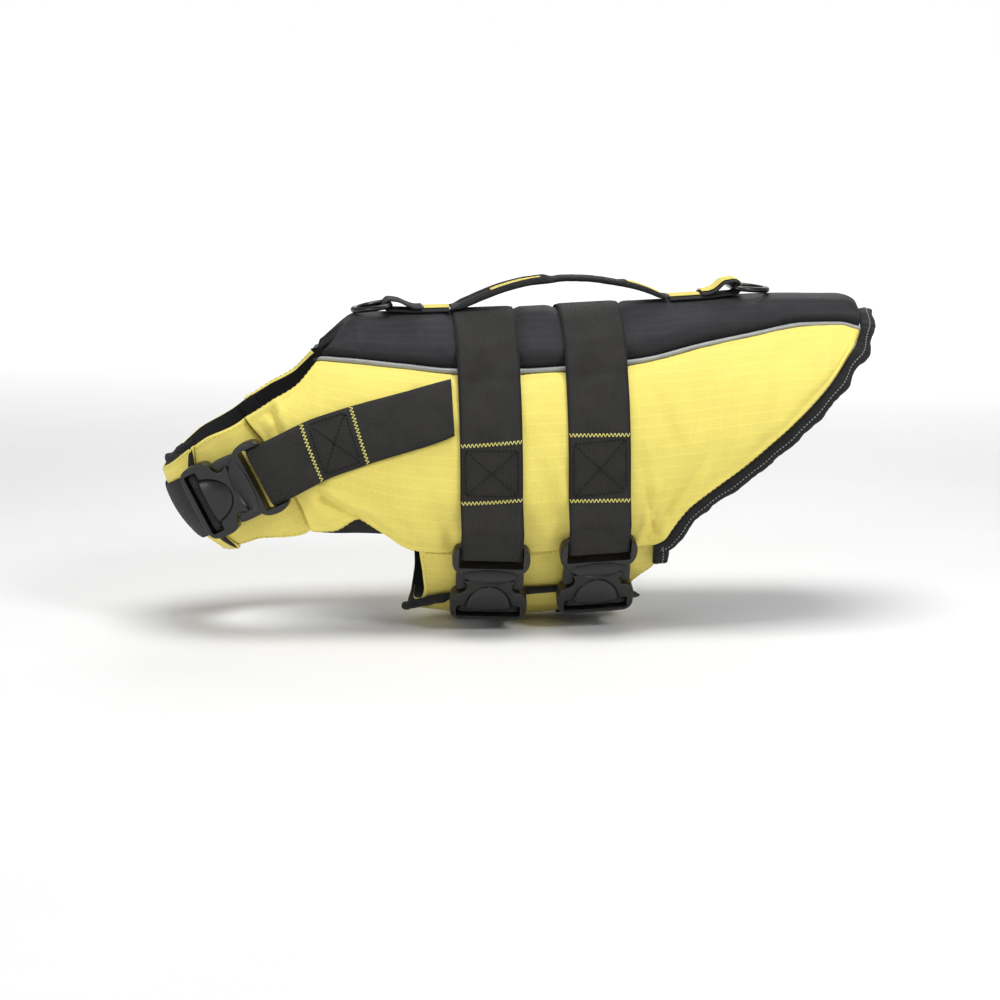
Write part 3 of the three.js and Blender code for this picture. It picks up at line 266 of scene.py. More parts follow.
class JacketColours(bpy.types.PropertyGroup):
    yellow: colour_property("Yellow", "Side panels, flaps and ribbon", (0.80, 0.675, 0.150))
    dark: colour_property("Dark", "Back panel", (0.0094, 0.0096, 0.0120))
    lining: colour_property("Lining", "Inner faces", (0.010, 0.010, 0.011))
    webbing: colour_property("Webbing", "Belts and chest strap", (0.0135, 0.0128, 0.0115))
    binding: colour_property("Binding", "Elastic hem, strip and handle", (0.0085, 0.0085, 0.0095))
    piping: colour_property("Piping", "Reflective piping and dashes", (0.27, 0.28, 0.27))
    plastic: colour_property("Plastic", "Buckles", (0.0072, 0.0074, 0.0078))
    metal: colour_property("Metal", "D rings", (0.035, 0.035, 0.038))
    thread: colour_property("Thread", "Visible stitches on the straps", (0.70, 0.64, 0.20))


def sizes():
    return bpy.context.scene.jacket_sizes


def colours():
    return bpy.context.scene.jacket_colours


# Numbers

def mix(a, b, share):
    return a + (b - a) * share


def ease(share):
    share = np.clip(share, 0, 1)
    return share * share * (3 - 2 * share)


def smooth_curve(at, values):
    """A smooth curve through points that never overshoots them, run on straight past its ends."""
    at = np.array(at, float)
    values = np.array(values, float)
    gaps = np.diff(at)
    rises = np.diff(values) / gaps
    slopes = np.zeros(len(at))
    slopes[0] = rises[0]
    slopes[-1] = rises[-1]
    for i in range(1, len(at) - 1):
        if rises[i - 1] * rises[i] > 0:
            before = 2 * gaps[i] + gaps[i - 1]
            after = gaps[i] + 2 * gaps[i - 1]
            slopes[i] = (before + after) / (before / rises[i - 1] + after / rises[i])

    def curve(x):
        x = np.asarray(x, float)
        i = np.clip(np.searchsorted(at, x, side="right") - 1, 0, len(at) - 2)
        s = (x - at[i]) / gaps[i]
        t = np.clip(s, 0, 1)
        rest = 1 - t
        value = rest * rest * (1 + 2 * t) * values[i] + t * rest * rest * gaps[i] * slopes[i]
        value = value + t * t * (3 - 2 * t) * values[i + 1] - t * t * rest * gaps[i] * slopes[i + 1]
        return value + (s - t) * gaps[i] * np.where(s < 0, slopes[i], slopes[i + 1])

    return curve


def curves_of(table, key=None):
    """One curve for each column of a table, read by row number or by the column numbered key."""
    columns = list(zip(*table))
    at = range(len(table)) if key is None else columns[key]
    return [smooth_curve(at, column) for i, column in enumerate(columns) if i != key]


def eased_shares(count):
    """Shares from 0 to 1 that lie closer together towards both ends."""
    even = np.linspace(0, 1, count + 1)
    return mix(even, (1 - np.cos(np.pi * even)) / 2, 0.75)


def noise(points, size, seed=0.0):
    """Smooth noise from -1 to 1 with lumps of about a size, in millimetres or one per axis."""
    p = np.asarray(points, float) / size + seed * 17.3
    base = np.floor(p)
    f = ease(p - base)
    total = 0.0
    for corner in np.ndindex(2, 2, 2):
        c = np.array(corner)
        weight = np.prod(np.where(c == 1, f, 1 - f), axis=-1)
        dots = (base + c) @ np.array([127.1, 311.7, 74.7])
        cell = np.sin(dots + seed) * 43758.5453
        total = total + weight * (2 * (cell - np.floor(cell)) - 1)
    return total


def lengths(line):
    steps = np.linalg.norm(np.diff(line, axis=0), axis=-1)
    return np.concatenate([[0], np.cumsum(steps)])


def splined(table, count):
    """A smooth line through the rows of a table, as count rows."""
    at = np.linspace(0, len(table) - 1, count)
    return np.stack([curve(at) for curve in curves_of(table)], -1)


def turns(count):
    """Angles evenly round a full turn."""
    return np.linspace(0, 2 * np.pi, count, endpoint=False)


def squared_off(wave, power):
    """A sine or cosine drawn towards a square wave as the power falls below 1."""
    return np.sign(wave) * np.abs(wave) ** power


def unit(vectors):
    return vectors / np.maximum(np.linalg.norm(vectors, axis=-1, keepdims=True), 1e-9)


# The body form

TOP_X, TOP_Z, LOW_X, LOW_Z, HALF_WIDTH = curves_of(SECTIONS)


def form(station, around):
    """A point of the form. Around is 0 on the spine, 1 under the belly, and past them on the far side."""
    down = (1 - np.cos(np.pi * around)) / 2
    x = mix(TOP_X(station), LOW_X(station), down)
    y = -HALF_WIDTH(station) * np.sin(np.pi * around)
    z = mix(TOP_Z(station), LOW_Z(station), down)
    return np.stack(np.broadcast_arrays(x, y, z), -1)


def slopes_at(station, around):
    step = 1e-3
    along = (form(station + step, around) - form(station - step, around)) / (2 * step)
    round_ = (form(station, around + step) - form(station, around - step)) / (2 * step)
    return along, round_


def outwards(station, around):
    along, round_ = slopes_at(station, around)
    return -unit(np.cross(along, round_))


def lifted(station, around, lift):
    return form(station, around) + outwards(station, around) * np.asarray(lift)[..., None]


def station_at(x, around, lift):
    x, around, lift = np.broadcast_arrays(np.asarray(x, float), around, lift)
    low = np.full(x.shape, STATION_ENDS[0])
    high = np.full(x.shape, STATION_ENDS[1])
    for _ in range(HALVINGS):
        middle = (low + high) / 2
        before = lifted(middle, around, lift)[..., 0] < x
        low = np.where(before, middle, low)
        high = np.where(before, high, middle)
    return (low + high) / 2


def spot_at(x, z, lift):
    """Station and around of the near side's spot that a side view shows at x, z."""
    x, z = np.broadcast_arrays(np.asarray(x, float), np.asarray(z, float))
    low = np.full(x.shape, 0.02)
    high = np.full(x.shape, 0.98)
    for _ in range(HALVINGS):
        middle = (low + high) / 2
        above = lifted(station_at(x, middle, lift), middle, lift)[..., 2] > z
        low = np.where(above, middle, low)
        high = np.where(above, high, middle)
    around = (low + high) / 2
    return station_at(x, around, lift), around


def walk(station, around, direction, distance, lift):
    """Walks a distance over the form from a spot, in a direction of space."""
    steps = 4
    reach = direction * (np.asarray(distance)[..., None] / steps)
    for _ in range(steps):
        along, round_ = slopes_at(station, around)
        aa = np.sum(along * along, -1)
        ar = np.sum(along * round_, -1)
        rr = np.sum(round_ * round_, -1)
        da = np.sum(along * reach, -1)
        dr = np.sum(round_ * reach, -1) / (1 + lift / 65)
        det = aa * rr - ar * ar
        station = station + (da * rr - dr * ar) / det
        around = around + (dr * aa - da * ar) / det
    return station, around


def girth(station, around):
    return np.linalg.norm(slopes_at(station, around)[1], axis=-1)


# The panels' lines on the form

PANELS = dict(zip(PANEL_COLUMNS, map(np.array, zip(*PANEL_LINES))))
EDGE_SPOTS = spot_at(PANELS["edgeX"], PANELS["edgeZ"], PANEL_LIFT)
LOW_SPOTS = spot_at(PANELS["lowX"], PANELS["lowZ"], PANEL_LIFT)
ROWS = range(len(PANEL_LINES))
EDGE_STATION = smooth_curve(ROWS, EDGE_SPOTS[0])
EDGE_AROUND = smooth_curve(ROWS, EDGE_SPOTS[1])
LOW_STATION = smooth_curve(ROWS, LOW_SPOTS[0])
LOW_AROUND = smooth_curve(ROWS, LOW_SPOTS[1])
SPINE_STATION = smooth_curve(ROWS, station_at(PANELS["spineX"], 0, BACK_FOAM))
SEAM_SHARES, SEAM_X, SEAM_Z = zip(*FRONT_SEAM)
SEAM_SPOTS = spot_at(SEAM_X, SEAM_Z, PANEL_LIFT)
SEAM_STATION = smooth_curve(SEAM_SHARES, SEAM_SPOTS[0])
SEAM_AROUND = smooth_curve(SEAM_SHARES, SEAM_SPOTS[1])
FLANK = slice(ARMHOLE_LINE, HEM_LINE + 1)
LOW_AROUND_AT = smooth_curve(PANELS["lowX"][FLANK], LOW_SPOTS[1][FLANK])
EDGE_AROUND_AT = smooth_curve(PANELS["edgeX"][NECK_LINE:], EDGE_SPOTS[1][NECK_LINE:])


def side_spot(line, share):
    """A spot of a side panel: line along PANEL_LINES, share from the piping down to the lower edge."""
    start = EDGE_AROUND(line)
    beside = (PIPING_RADIUS + SEAM) * np.clip(line - NECK_LINE + 1, 0, 1)
    start = start + beside / girth(EDGE_STATION(line), start)
    to_seam = np.clip(1 - line / 3, 0, 1) ** 2
    station = mix(EDGE_STATION(line), LOW_STATION(line), share)
    around = mix(start, LOW_AROUND(line), share)
    station = station + to_seam * (SEAM_STATION(share) - mix(SEAM_STATION(0), SEAM_STATION(1), share))
    around = around + to_seam * (SEAM_AROUND(share) - mix(SEAM_AROUND(0), SEAM_AROUND(1), share))
    return station, around


def padding(full, distance):
    """Height of the padding at a distance from the nearest seam."""
    rest = 1 - np.clip(distance / FOAM_ROUNDING, 0, 1)
    return FOAM_EDGE + (full - FOAM_EDGE) * np.sqrt(1 - rest * rest)


def crease_depth(points):
    depth = 0.0
    flat = points[..., [0, 2]]
    for from_x, from_z, to_x, to_z, width, deep in CREASES:
        run = np.array([to_x - from_x, to_z - from_z], float)
        here = flat - np.array([from_x, from_z])
        share = np.clip(here @ run / (run @ run), 0, 1)
        off = np.linalg.norm(here - share[..., None] * run, axis=-1) / width
        upwards = np.array([-run[1], run[0]]) * np.sign(run[0]) / np.linalg.norm(run)
        above = here @ upwards / width
        bank = 0.6 * np.exp(-(((above - 1.7) / 0.9) ** 2)) * np.exp(-(np.maximum(off - 2.4, 0) ** 2))
        depth = depth + deep * (0.35 + 0.65 * share) * (1.15 * np.exp(-1.3 * off) - bank)
    return depth


def under_belt(x, fade):
    off = np.minimum(abs(x - BELT_X["front"]), abs(x - BELT_X["rear"])) - WEBBING / 2
    return ease(1 - off / fade)


# Meshes from grids of points

def grid_faces(ids):
    return np.stack([ids[:-1, :-1], ids[1:, :-1], ids[1:, 1:], ids[:-1, 1:]], -1).reshape(-1, 4)


def shell_faces(rows, columns):
    """Faces of a wall between an outer and an inner grid, and for each face 0 outer, 1 inner, 2 edge."""
    outer = np.arange(rows * columns).reshape(rows, columns)
    inner = outer + rows * columns
    top = grid_faces(outer)
    low = grid_faces(inner)[:, ::-1]
    rims = []
    for o, i, flip in ((outer[:, 0], inner[:, 0], 1), (outer[:, -1], inner[:, -1], 0),
                       (outer[0], inner[0], 0), (outer[-1], inner[-1], 1)):
        rim = np.stack([o[:-1], o[1:], i[1:], i[:-1]], -1)
        rims.append(rim[:, ::-1] if flip else rim)
    rims = np.concatenate(rims)
    kinds = np.repeat([0, 1, 2], [len(top), len(low), len(rims)])
    return np.concatenate([top, low, rims]), kinds


def tube_faces(rows, sides, closed):
    ids = np.arange(rows * sides).reshape(rows, sides)
    ids = np.concatenate([ids, ids[:, :1]], 1)
    if closed:
        ids = np.concatenate([ids, ids[:1]], 0)
    return grid_faces(ids)


def tube_caps(rows, sides):
    """The two end faces of an open tube."""
    return [list(range(sides))[::-1], [(rows - 1) * sides + i for i in range(sides)]]


def signed_volume(points, faces):
    a, b, c, d = (points[faces[:, k]] for k in range(4))
    return np.sum(a * np.cross(b, c)) + np.sum(a * np.cross(c, d))


def add_mesh(name, points, faces, materials, kinds=None, cloth_map=None, caps=(), smooth=True):
    """A mesh object from points in millimetres. Its faces are turned outwards."""
    points = np.asarray(points, float).reshape(-1, 3)
    faces = np.asarray(faces)
    centred = points - points.mean(0)
    turned = signed_volume(centred, faces) < 0
    if turned:
        faces = faces[:, ::-1]
    polygons = faces.tolist() + [list(cap)[::-1] if turned else list(cap) for cap in caps]
    mesh = bpy.data.meshes.new(name)
    mesh.from_pydata((points * MM).tolist(), [], polygons)
    for material in materials:
        mesh.materials.append(finish(material))
    if kinds is not None:
        mesh.polygons.foreach_set("material_index", np.concatenate([kinds, np.zeros(len(caps))]).astype(int))
    if cloth_map is not None:
        corners = np.zeros(len(mesh.loops), int)
        mesh.loops.foreach_get("vertex_index", corners)
        layer = mesh.uv_layers.new(name="cloth")
        layer.data.foreach_set("uv", (np.asarray(cloth_map).reshape(-1, 2) * MM)[corners].ravel())
    mesh.update()
    thing = bpy.data.objects.new(name, mesh)
    bpy.context.scene.collection.objects.link(thing)
    if smooth:
        mesh.shade_smooth()
    return thing


def mirror_far(points):
    return points * np.array([1, -1, 1])


def seat(thing, slot, *nodes, body="garment"):
    """Puts a piece on its body, in the place of the frame's nodes."""
    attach(thing, body)
    if nodes:
        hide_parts(*nodes)
    return thing


def cloth_shell(name, outer, inner, cloth_map, materials):
    rows, columns = outer.shape[:2]
    faces, kinds = shell_faces(rows, columns)
    points = np.concatenate([outer.reshape(-1, 3), inner.reshape(-1, 3)])
    both = np.concatenate([cloth_map.reshape(-1, 2)] * 2)
    inside = 1 if len(materials) > 1 else 0
    return add_mesh(name, points, faces, materials, np.where(kinds == 1, inside, 0), both)


def grid_normals(grid):
    along = np.gradient(grid, axis=0)
    across = np.gradient(grid, axis=1)
    return unit(np.cross(along, across))


def grid_area(grid):
    along = np.diff(grid, axis=0)[:, :-1]
    across = np.diff(grid, axis=1)[:-1]
    return float(np.sum(np.linalg.norm(np.cross(along, across), axis=-1)))


def declare_sheet(grid):
    """Works out the length, width and area of a sheet of cloth, and keeps none of them."""
    length = lengths(grid[:, grid.shape[1] // 2])[-1]
    widths = [lengths(grid[i])[-1] for i in range(0, len(grid), 4)]
    area = grid_area(grid)
    width = max(max(widths), area / length)
    area = max(area, 0.31 * width * length)


def band(name, middles, thick, material, slot, nodes):
    """A flat band of even thickness about a grid of middle points, with softly rounded edges."""
    normals = grid_normals(middles)
    across = np.linspace(-1, 1, middles.shape[1])
    profile = thick / 2 * (1 - 0.75 * np.abs(across) ** 14)[None, :, None]
    along = lengths(middles[:, middles.shape[1] // 2])
    width = lengths(middles[0])
    cloth_map = np.stack(np.broadcast_arrays((width - width[-1] / 2)[None, :], along[:, None]), -1)
    thing = cloth_shell(name, middles + normals * profile, middles - normals * profile, cloth_map, [material])
    seat(thing, slot, *nodes)
    declare_sheet(middles)
    return thing


def border_distances(grid):
    def runs(axis):
        steps = np.linalg.norm(np.diff(grid, axis=axis), axis=-1)
        first = np.zeros_like(np.take(steps, [0], axis))
        sums = np.concatenate([first, np.cumsum(steps, axis)], axis)
        return np.minimum(sums, np.take(sums, [-1], axis) - sums)

    return np.minimum(runs(0), runs(1))


def read_between(coarse, count):
    """Rows that are known on every third row of a grid, read off for each of its rows."""
    at = np.arange(count) / COARSE
    flat = coarse.reshape(len(coarse), -1)
    rows = np.stack([np.interp(at, np.arange(len(coarse)), column) for column in flat.T], -1)
    return rows.reshape(count, *coarse.shape[1:])


def settle(grid, growth, pressure, cap, frames=16):
    """How far cloth a little too large for its border swells and puckers at each point of a grid.

    The simulation runs on every third row and column, and the rest is read off between them."""
    coarse = grid[::COARSE, ::COARSE]
    rows, columns = coarse.shape[:2]
    ids = np.arange(rows * columns).reshape(rows, columns)
    mesh = bpy.data.meshes.new("cloth")
    mesh.from_pydata((coarse.reshape(-1, 3) * CLOTH_SCALE).tolist(), [], grid_faces(ids).tolist())
    thing = bpy.data.objects.new("cloth", mesh)
    bpy.context.scene.collection.objects.link(thing)
    held = thing.vertex_groups.new(name="held")
    border = np.unique(np.concatenate([ids[0], ids[-1], ids[:, 0], ids[:, -1]]))
    held.add(border.tolist(), 1.0, "REPLACE")
    cloth = thing.modifiers.new("Cloth", "CLOTH")
    cloth.settings.vertex_group_mass = "held"
    cloth.settings.quality = 6
    cloth.settings.mass = 0.3
    cloth.settings.shrink_min = -growth
    cloth.settings.bending_stiffness = 0.15
    cloth.settings.use_pressure = True
    cloth.settings.uniform_pressure_force = pressure
    cloth.settings.effector_weights.gravity = 0
    scene = bpy.context.scene
    for number in range(1, frames + 1):
        scene.frame_set(number)
    evaluated = thing.evaluated_get(bpy.context.evaluated_depsgraph_get())
    moved = np.zeros(rows * columns * 3)
    evaluated.data.vertices.foreach_get("co", moved)
    scene.frame_set(1)
    moves = moved.reshape(rows, columns, 3) / CLOTH_SCALE - coarse
    bpy.data.objects.remove(thing)
    far = np.linalg.norm(moves, axis=-1, keepdims=True)
    moves = moves * (np.minimum(far, cap) / np.maximum(far, 1e-9))
    moves = read_between(moves, grid.shape[0])
    return read_between(moves.transpose(1, 0, 2), grid.shape[1]).transpose(1, 0, 2)


# Materials

NODE_GROUPS = {}


def wire(tree, kind, inputs=None, **settings):
    """Adds a node, sets it, and links or fills its inputs."""
    node = tree.nodes.new(kind)
    for key, value in settings.items():
        setattr(node, key, value)
    for key, value in (inputs or {}).items():
        if isinstance(value, bpy.types.NodeSocket):
            tree.links.new(value, node.inputs[key])
        else:
            node.inputs[key].default_value = value
    return node


def math_of(tree, operation, a, b=0.0):
    return wire(tree, "ShaderNodeMath", {0: a, 1: b}, operation=operation).outputs[0]


def vector_math(tree, operation, inputs):
    return wire(tree, "ShaderNodeVectorMath", inputs, operation=operation).outputs[0]


def noise_of(tree, place, scale, detail, roughness=0.5):
    words = {"Vector": place, "Scale": scale, "Detail": detail, "Roughness": roughness}
    return wire(tree, "ShaderNodeTexNoise", words).outputs


def weighted(tree, *parts):
    """The sum of several values, each given with its share."""
    result = math_of(tree, "MULTIPLY", *parts[0])
    for value, share in parts[1:]:
        result = math_of(tree, "ADD", result, math_of(tree, "MULTIPLY", value, share))
    return result


def blend(tree, factor, first, second):
    """One colour mixed into another by a factor."""
    return wire(tree, "ShaderNodeMix", {0: factor, 6: first, 7: second}, data_type="RGBA").outputs[2]


def new_group(name, inputs, outputs):
    """A shader node group with its own inputs and outputs."""
    tree = bpy.data.node_groups.new(name, "ShaderNodeTree")
    for label, kind, default in inputs:
        socket = tree.interface.new_socket(label, in_out="INPUT", socket_type=kind)
        if default is not None:
            socket.default_value = default
    for label, kind in outputs:
        tree.interface.new_socket(label, in_out="OUTPUT", socket_type=kind)
    start = tree.nodes.new("NodeGroupInput")
    end = tree.nodes.new("NodeGroupOutput")
    return tree, start, end


FLOAT = "NodeSocketFloat"
VECTOR = "NodeSocketVector"


def line_mask(tree, value, sharpness):
    """1 on each whole number of a value, falling to 0 beside it."""
    off = math_of(tree, "PINGPONG", value, 0.5)
    near = math_of(tree, "SUBTRACT", 1.0, math_of(tree, "MULTIPLY", off, 2.0))
    return math_of(tree, "POWER", near, sharpness)


def ripstop_group():
    """Plain weave with heavier threads in a grid, and the faint crumple of coated cloth."""
    inputs = [("Vector", VECTOR, None), ("Grid", FLOAT, 0.006), ("Weave", FLOAT, 0.0005)]
    outputs = [("Lines", FLOAT), ("Height", FLOAT), ("Shade", FLOAT)]
    tree, start, end = new_group("Ripstop", inputs, outputs)
    vector, grid, weave = start.outputs[:3]
    bent = noise_of(tree, vector, 40.0, 2.0)["Color"]
    centred = vector_math(tree, "SUBTRACT", {0: bent, 1: (0.5, 0.5, 0.5)})
    small = vector_math(tree, "SCALE", {0: centred, "Scale": 0.0012})
    place = vector_math(tree, "ADD", {0: vector, 1: small})
    parts = wire(tree, "ShaderNodeSeparateXYZ", {0: place}).outputs
    across = line_mask(tree, math_of(tree, "DIVIDE", parts[0], grid), 9.0)
    down = line_mask(tree, math_of(tree, "DIVIDE", parts[1], grid), 9.0)
    lines = math_of(tree, "MAXIMUM", math_of(tree, "MULTIPLY", across, 0.28), down)
    warp = line_mask(tree, math_of(tree, "DIVIDE", parts[0], weave), 1.0)
    weft = line_mask(tree, math_of(tree, "DIVIDE", parts[1], weave), 1.0)
    crumple = noise_of(tree, vector, 150.0, 5.0, 0.6)["Fac"]
    broad = noise_of(tree, vector, 22.0, 4.0, 0.65)["Fac"]
    thready = noise_of(tree, vector, 900.0, 2.0)["Fac"]
    height = weighted(tree, (lines, 0.55), (warp, 0.1), (weft, 0.14), (crumple, 0.9))
    tree.links.new(lines, end.inputs["Lines"])
    tree.links.new(height, end.inputs["Height"])
    tree.links.new(weighted(tree, (broad, 0.55), (thready, 0.45)), end.inputs["Shade"])
    return tree


def webbing_group():
    """Ribs along a woven strap, crossed by short threads, and a flat selvage beside each edge."""
    inputs = [
        ("Vector", VECTOR, None),
        ("Rib", FLOAT, 0.0011),
        ("Thread", FLOAT, 0.0009),
        ("Half width", FLOAT, 1.0),
    ]
    tree, start, end = new_group("Webbing weave", inputs, [("Height", FLOAT), ("Shade", FLOAT)])
    vector, rib_step, thread_step, half_width = start.outputs[:4]
    parts = wire(tree, "ShaderNodeSeparateXYZ", {0: vector}).outputs
    along = math_of(tree, "DIVIDE", parts[0], rib_step)
    rib = line_mask(tree, along, 0.8)
    row = math_of(tree, "MULTIPLY", math_of(tree, "FLOOR", along), 0.5)
    crossing = math_of(tree, "ADD", math_of(tree, "DIVIDE", parts[1], thread_step), row)
    thread = line_mask(tree, crossing, 0.7)
    fuzz = noise_of(tree, vector, 900.0, 3.0)["Fac"]
    broad = noise_of(tree, vector, 60.0, 4.0)["Fac"]
    side = math_of(tree, "DIVIDE", math_of(tree, "ABSOLUTE", parts[0]), half_width)
    selvage = wire(tree, "ShaderNodeMapRange", {"Value": side, "From Min": 0.9, "From Max": 0.94}).outputs[0]
    flatter = math_of(tree, "SUBTRACT", 1.0, math_of(tree, "MULTIPLY", selvage, 0.5))
    woven = math_of(tree, "MULTIPLY", weighted(tree, (rib, 1.0), (thread, 0.6)), flatter)
    shade = weighted(tree, (rib, 0.32), (thread, 0.22), (broad, 0.46), (selvage, -0.25))
    tree.links.new(weighted(tree, (woven, 1.0), (fuzz, 0.5)), end.inputs["Height"])
    tree.links.new(shade, end.inputs["Shade"])
    return tree


def grain_group():
    """The fine grain and faint scuffs of moulded plastic or coated metal."""
    inputs = [("Vector", VECTOR, None), ("Scale", FLOAT, 1400.0)]
    tree, start, end = new_group("Grain", inputs, [("Height", FLOAT), ("Scuff", FLOAT)])
    vector, scale = start.outputs[:2]
    tree.links.new(noise_of(tree, vector, scale, 2.0)["Fac"], end.inputs["Height"])
    tree.links.new(noise_of(tree, vector, 130.0, 6.0, 0.7)["Fac"], end.inputs["Scuff"])
    return tree


GROUP_MAKERS = {"Ripstop": ripstop_group, "Webbing weave": webbing_group, "Grain": grain_group}


def use_group(tree, name, inputs):
    if name not in NODE_GROUPS:
        NODE_GROUPS[name] = GROUP_MAKERS[name]()
    return wire(tree, "ShaderNodeGroup", inputs, node_tree=NODE_GROUPS[name])


def spread(tree, factor, colour, low, high):
    """The colour made darker and lighter between two shares, as a factor runs from 0.3 to 0.7."""
    ramp = wire(tree, "ShaderNodeMapRange", {"Value": factor, "From Min": 0.3, "From Max": 0.7})
    darker = (*[c * low for c in colour], 1)
    lighter = (*[min(1, c * high) for c in colour], 1)
    return blend(tree, ramp.outputs[0], darker, lighter)


def finish_start(name):
    material = bpy.data.materials.new(name)
    material.use_nodes = True
    tree = material.node_tree
    shader = tree.nodes["Principled BSDF"]
    return material, tree, shader


def bump_into(tree, shader, height, distance, strength=1.0):
    bump = wire(tree, "ShaderNodeBump", {"Height": height, "Distance": distance, "Strength": strength})
    tree.links.new(bump.outputs[0], shader.inputs["Normal"])


def roughness_into(tree, shader, value, first, last, most=1.0):
    """Roughness that runs from first to last, as a value runs from 0 to its most."""
    words = {"Value": value, "From Max": most, "To Min": first, "To Max": last}
    tree.links.new(wire(tree, "ShaderNodeMapRange", words).outputs[0], shader.inputs["Roughness"])


def cloth_finish(name, colour, line_gain, rough, sheen, low=0.86, high=1.1, grid=None):
    material, tree, shader = finish_start(name)
    place = wire(tree, "ShaderNodeUVMap", uv_map="cloth").outputs[0]
    words = {"Vector": place, "Grid": grid or sizes().ripstop_grid, "Weave": 0.00052}
    cloth = use_group(tree, "Ripstop", words)
    base = spread(tree, cloth.outputs["Shade"], colour, low, high)
    faded = math_of(tree, "MULTIPLY", cloth.outputs["Lines"], 0.42)
    heavier = (*[min(1, c * line_gain) for c in colour], 1)
    tree.links.new(blend(tree, faded, base, heavier), shader.inputs["Base Color"])
    roughness_into(tree, shader, cloth.outputs["Height"], rough + 0.1, rough - 0.08, 1.6)
    shader.inputs["Sheen Weight"].default_value = sheen
    shader.inputs["Sheen Roughness"].default_value = 0.4
    shader.inputs["Specular IOR Level"].default_value = 0.35
    bump_into(tree, shader, cloth.outputs["Height"], 0.00016)
    return material


def webbing_finish(name, colour, rib=None, thread=0.0009, low=0.6, high=1.7, half_width=1.0):
    material, tree, shader = finish_start(name)
    place = wire(tree, "ShaderNodeUVMap", uv_map="cloth").outputs[0]
    words = {"Vector": place, "Rib": rib or sizes().webbing_rib, "Thread": thread, "Half width": half_width}
    weave = use_group(tree, "Webbing weave", words)
    tree.links.new(spread(tree, weave.outputs["Shade"], colour, low, high), shader.inputs["Base Color"])
    roughness_into(tree, shader, weave.outputs["Shade"], 0.85, 0.58)
    shader.inputs["Sheen Weight"].default_value = 0.04
    shader.inputs["Specular IOR Level"].default_value = 0.3
    bump_into(tree, shader, weave.outputs["Height"], 0.00022)
    return material


def moulded_finish(name, colour, rough, scale, metallic=0.0, coat=0.0, low=0.8, high=1.25, bump=0.00002):
    material, tree, shader = finish_start(name)
    place = wire(tree, "ShaderNodeTexCoord").outputs["Object"]
    grain = use_group(tree, "Grain", {"Vector": place, "Scale": scale})
    tree.links.new(spread(tree, grain.outputs["Scuff"], colour, low, high), shader.inputs["Base Color"])
    roughness_into(tree, shader, grain.outputs["Scuff"], rough - 0.12, rough + 0.14)
    shader.inputs["Metallic"].default_value = metallic
    shader.inputs["Coat Weight"].default_value = coat
    bump_into(tree, shader, grain.outputs["Height"], bump)
    return material


def thread_finish(name, colour):
    material, tree, shader = finish_start(name)
    place = wire(tree, "ShaderNodeTexCoord").outputs["Object"]
    words = {"Vector": place, "Scale": 900.0, "Distortion": 1.5}
    twist = wire(tree, "ShaderNodeTexWave", words, bands_direction="DIAGONAL")
    tree.links.new(spread(tree, twist.outputs["Fac"], colour, 0.75, 1.15), shader.inputs["Base Color"])
    shader.inputs["Roughness"].default_value = 0.7
    shader.inputs["Specular IOR Level"].default_value = 0.25
    bump_into(tree, shader, twist.outputs["Fac"], 0.00005)
    return material


FINISHES = {
    "yellow ripstop": lambda: cloth_finish(
        "yellow ripstop", colours().yellow, line_gain=1.16, rough=0.62, sheen=0.06, low=0.88, high=1.06
    ),
    "dark ripstop": lambda: cloth_finish(
        "dark ripstop", colours().dark, line_gain=1.8, rough=0.66, sheen=0.04, low=0.7, high=1.35
    ),
    "black lining": lambda: cloth_finish(
        "black lining", colours().lining, line_gain=1.5, rough=0.7, sheen=0.1, low=0.8, high=1.2, grid=0.004
    ),
    "yellow ribbon": lambda: webbing_finish(
        "yellow ribbon", colours().yellow, rib=0.0009, thread=0.0007, low=0.82, high=1.08
    ),
    "strap webbing": lambda: webbing_finish("strap webbing", colours().webbing, half_width=WEBBING * MM / 2),
    "black tape": lambda: webbing_finish(
        "black tape", colours().binding, rib=0.0009, thread=0.0008, low=0.8, high=1.6
    ),
    "gathered elastic": lambda: webbing_finish(
        "gathered elastic", colours().binding, rib=0.0007, thread=0.0006, low=0.7, high=1.7
    ),
    "reflective piping": lambda: moulded_finish(
        "reflective piping", colours().piping, rough=0.42, scale=2200.0,
        metallic=0.15, coat=0.1, low=0.85, high=1.12, bump=0.00003,
    ),
    "moulded plastic": lambda: moulded_finish("moulded plastic", colours().plastic, rough=0.33, scale=1500.0),
    "coated metal": lambda: moulded_finish(
        "coated metal", colours().metal, rough=0.3, scale=1800.0,
        metallic=0.9, coat=0.2, low=0.7, high=1.3, bump=0.00001,
    ),
    "yellow thread": lambda: thread_finish("yellow thread", colours().thread),
    "pale thread": lambda: thread_finish("pale thread", [c * 0.8 for c in colours().yellow]),
    # This thread is a quarter as bright as the webbing, darker than the black thread itself. Its colour is
    # painted shade for the dents that the box stitches press into the straps, and the back panel's seams use
    # the same darkened colour.
    "black thread": lambda: thread_finish("black thread", [c * 0.25 for c in colours().webbing]),
    "grey thread": lambda: thread_finish("grey thread", colours().piping),
}


def finish(name):
    return bpy.data.materials.get(name) or FINISHES[name]()


# Padded panels

ROUND_TABLE = np.linspace(0, 1.2, 241)
ROUND_LENGTHS = lengths(form(5.5, ROUND_TABLE))
GRIDS = {}


def round_length(around):
    return np.sign(around) * np.interp(abs(around), ROUND_TABLE, ROUND_LENGTHS)


def seam_gathers(grid, distance, seed):
    """Short puckers across a seam, that fade into the panel."""
    fine = noise(grid, np.array([5.5, 9.0, 7.0]), seed) * np.exp(-distance / 5)
    wide = noise(grid, np.array([11.0, 15.0, 14.0]), seed + 3) * np.exp(-distance / 11)
    return (fine + 1.3 * wide) * sizes().pucker / MM


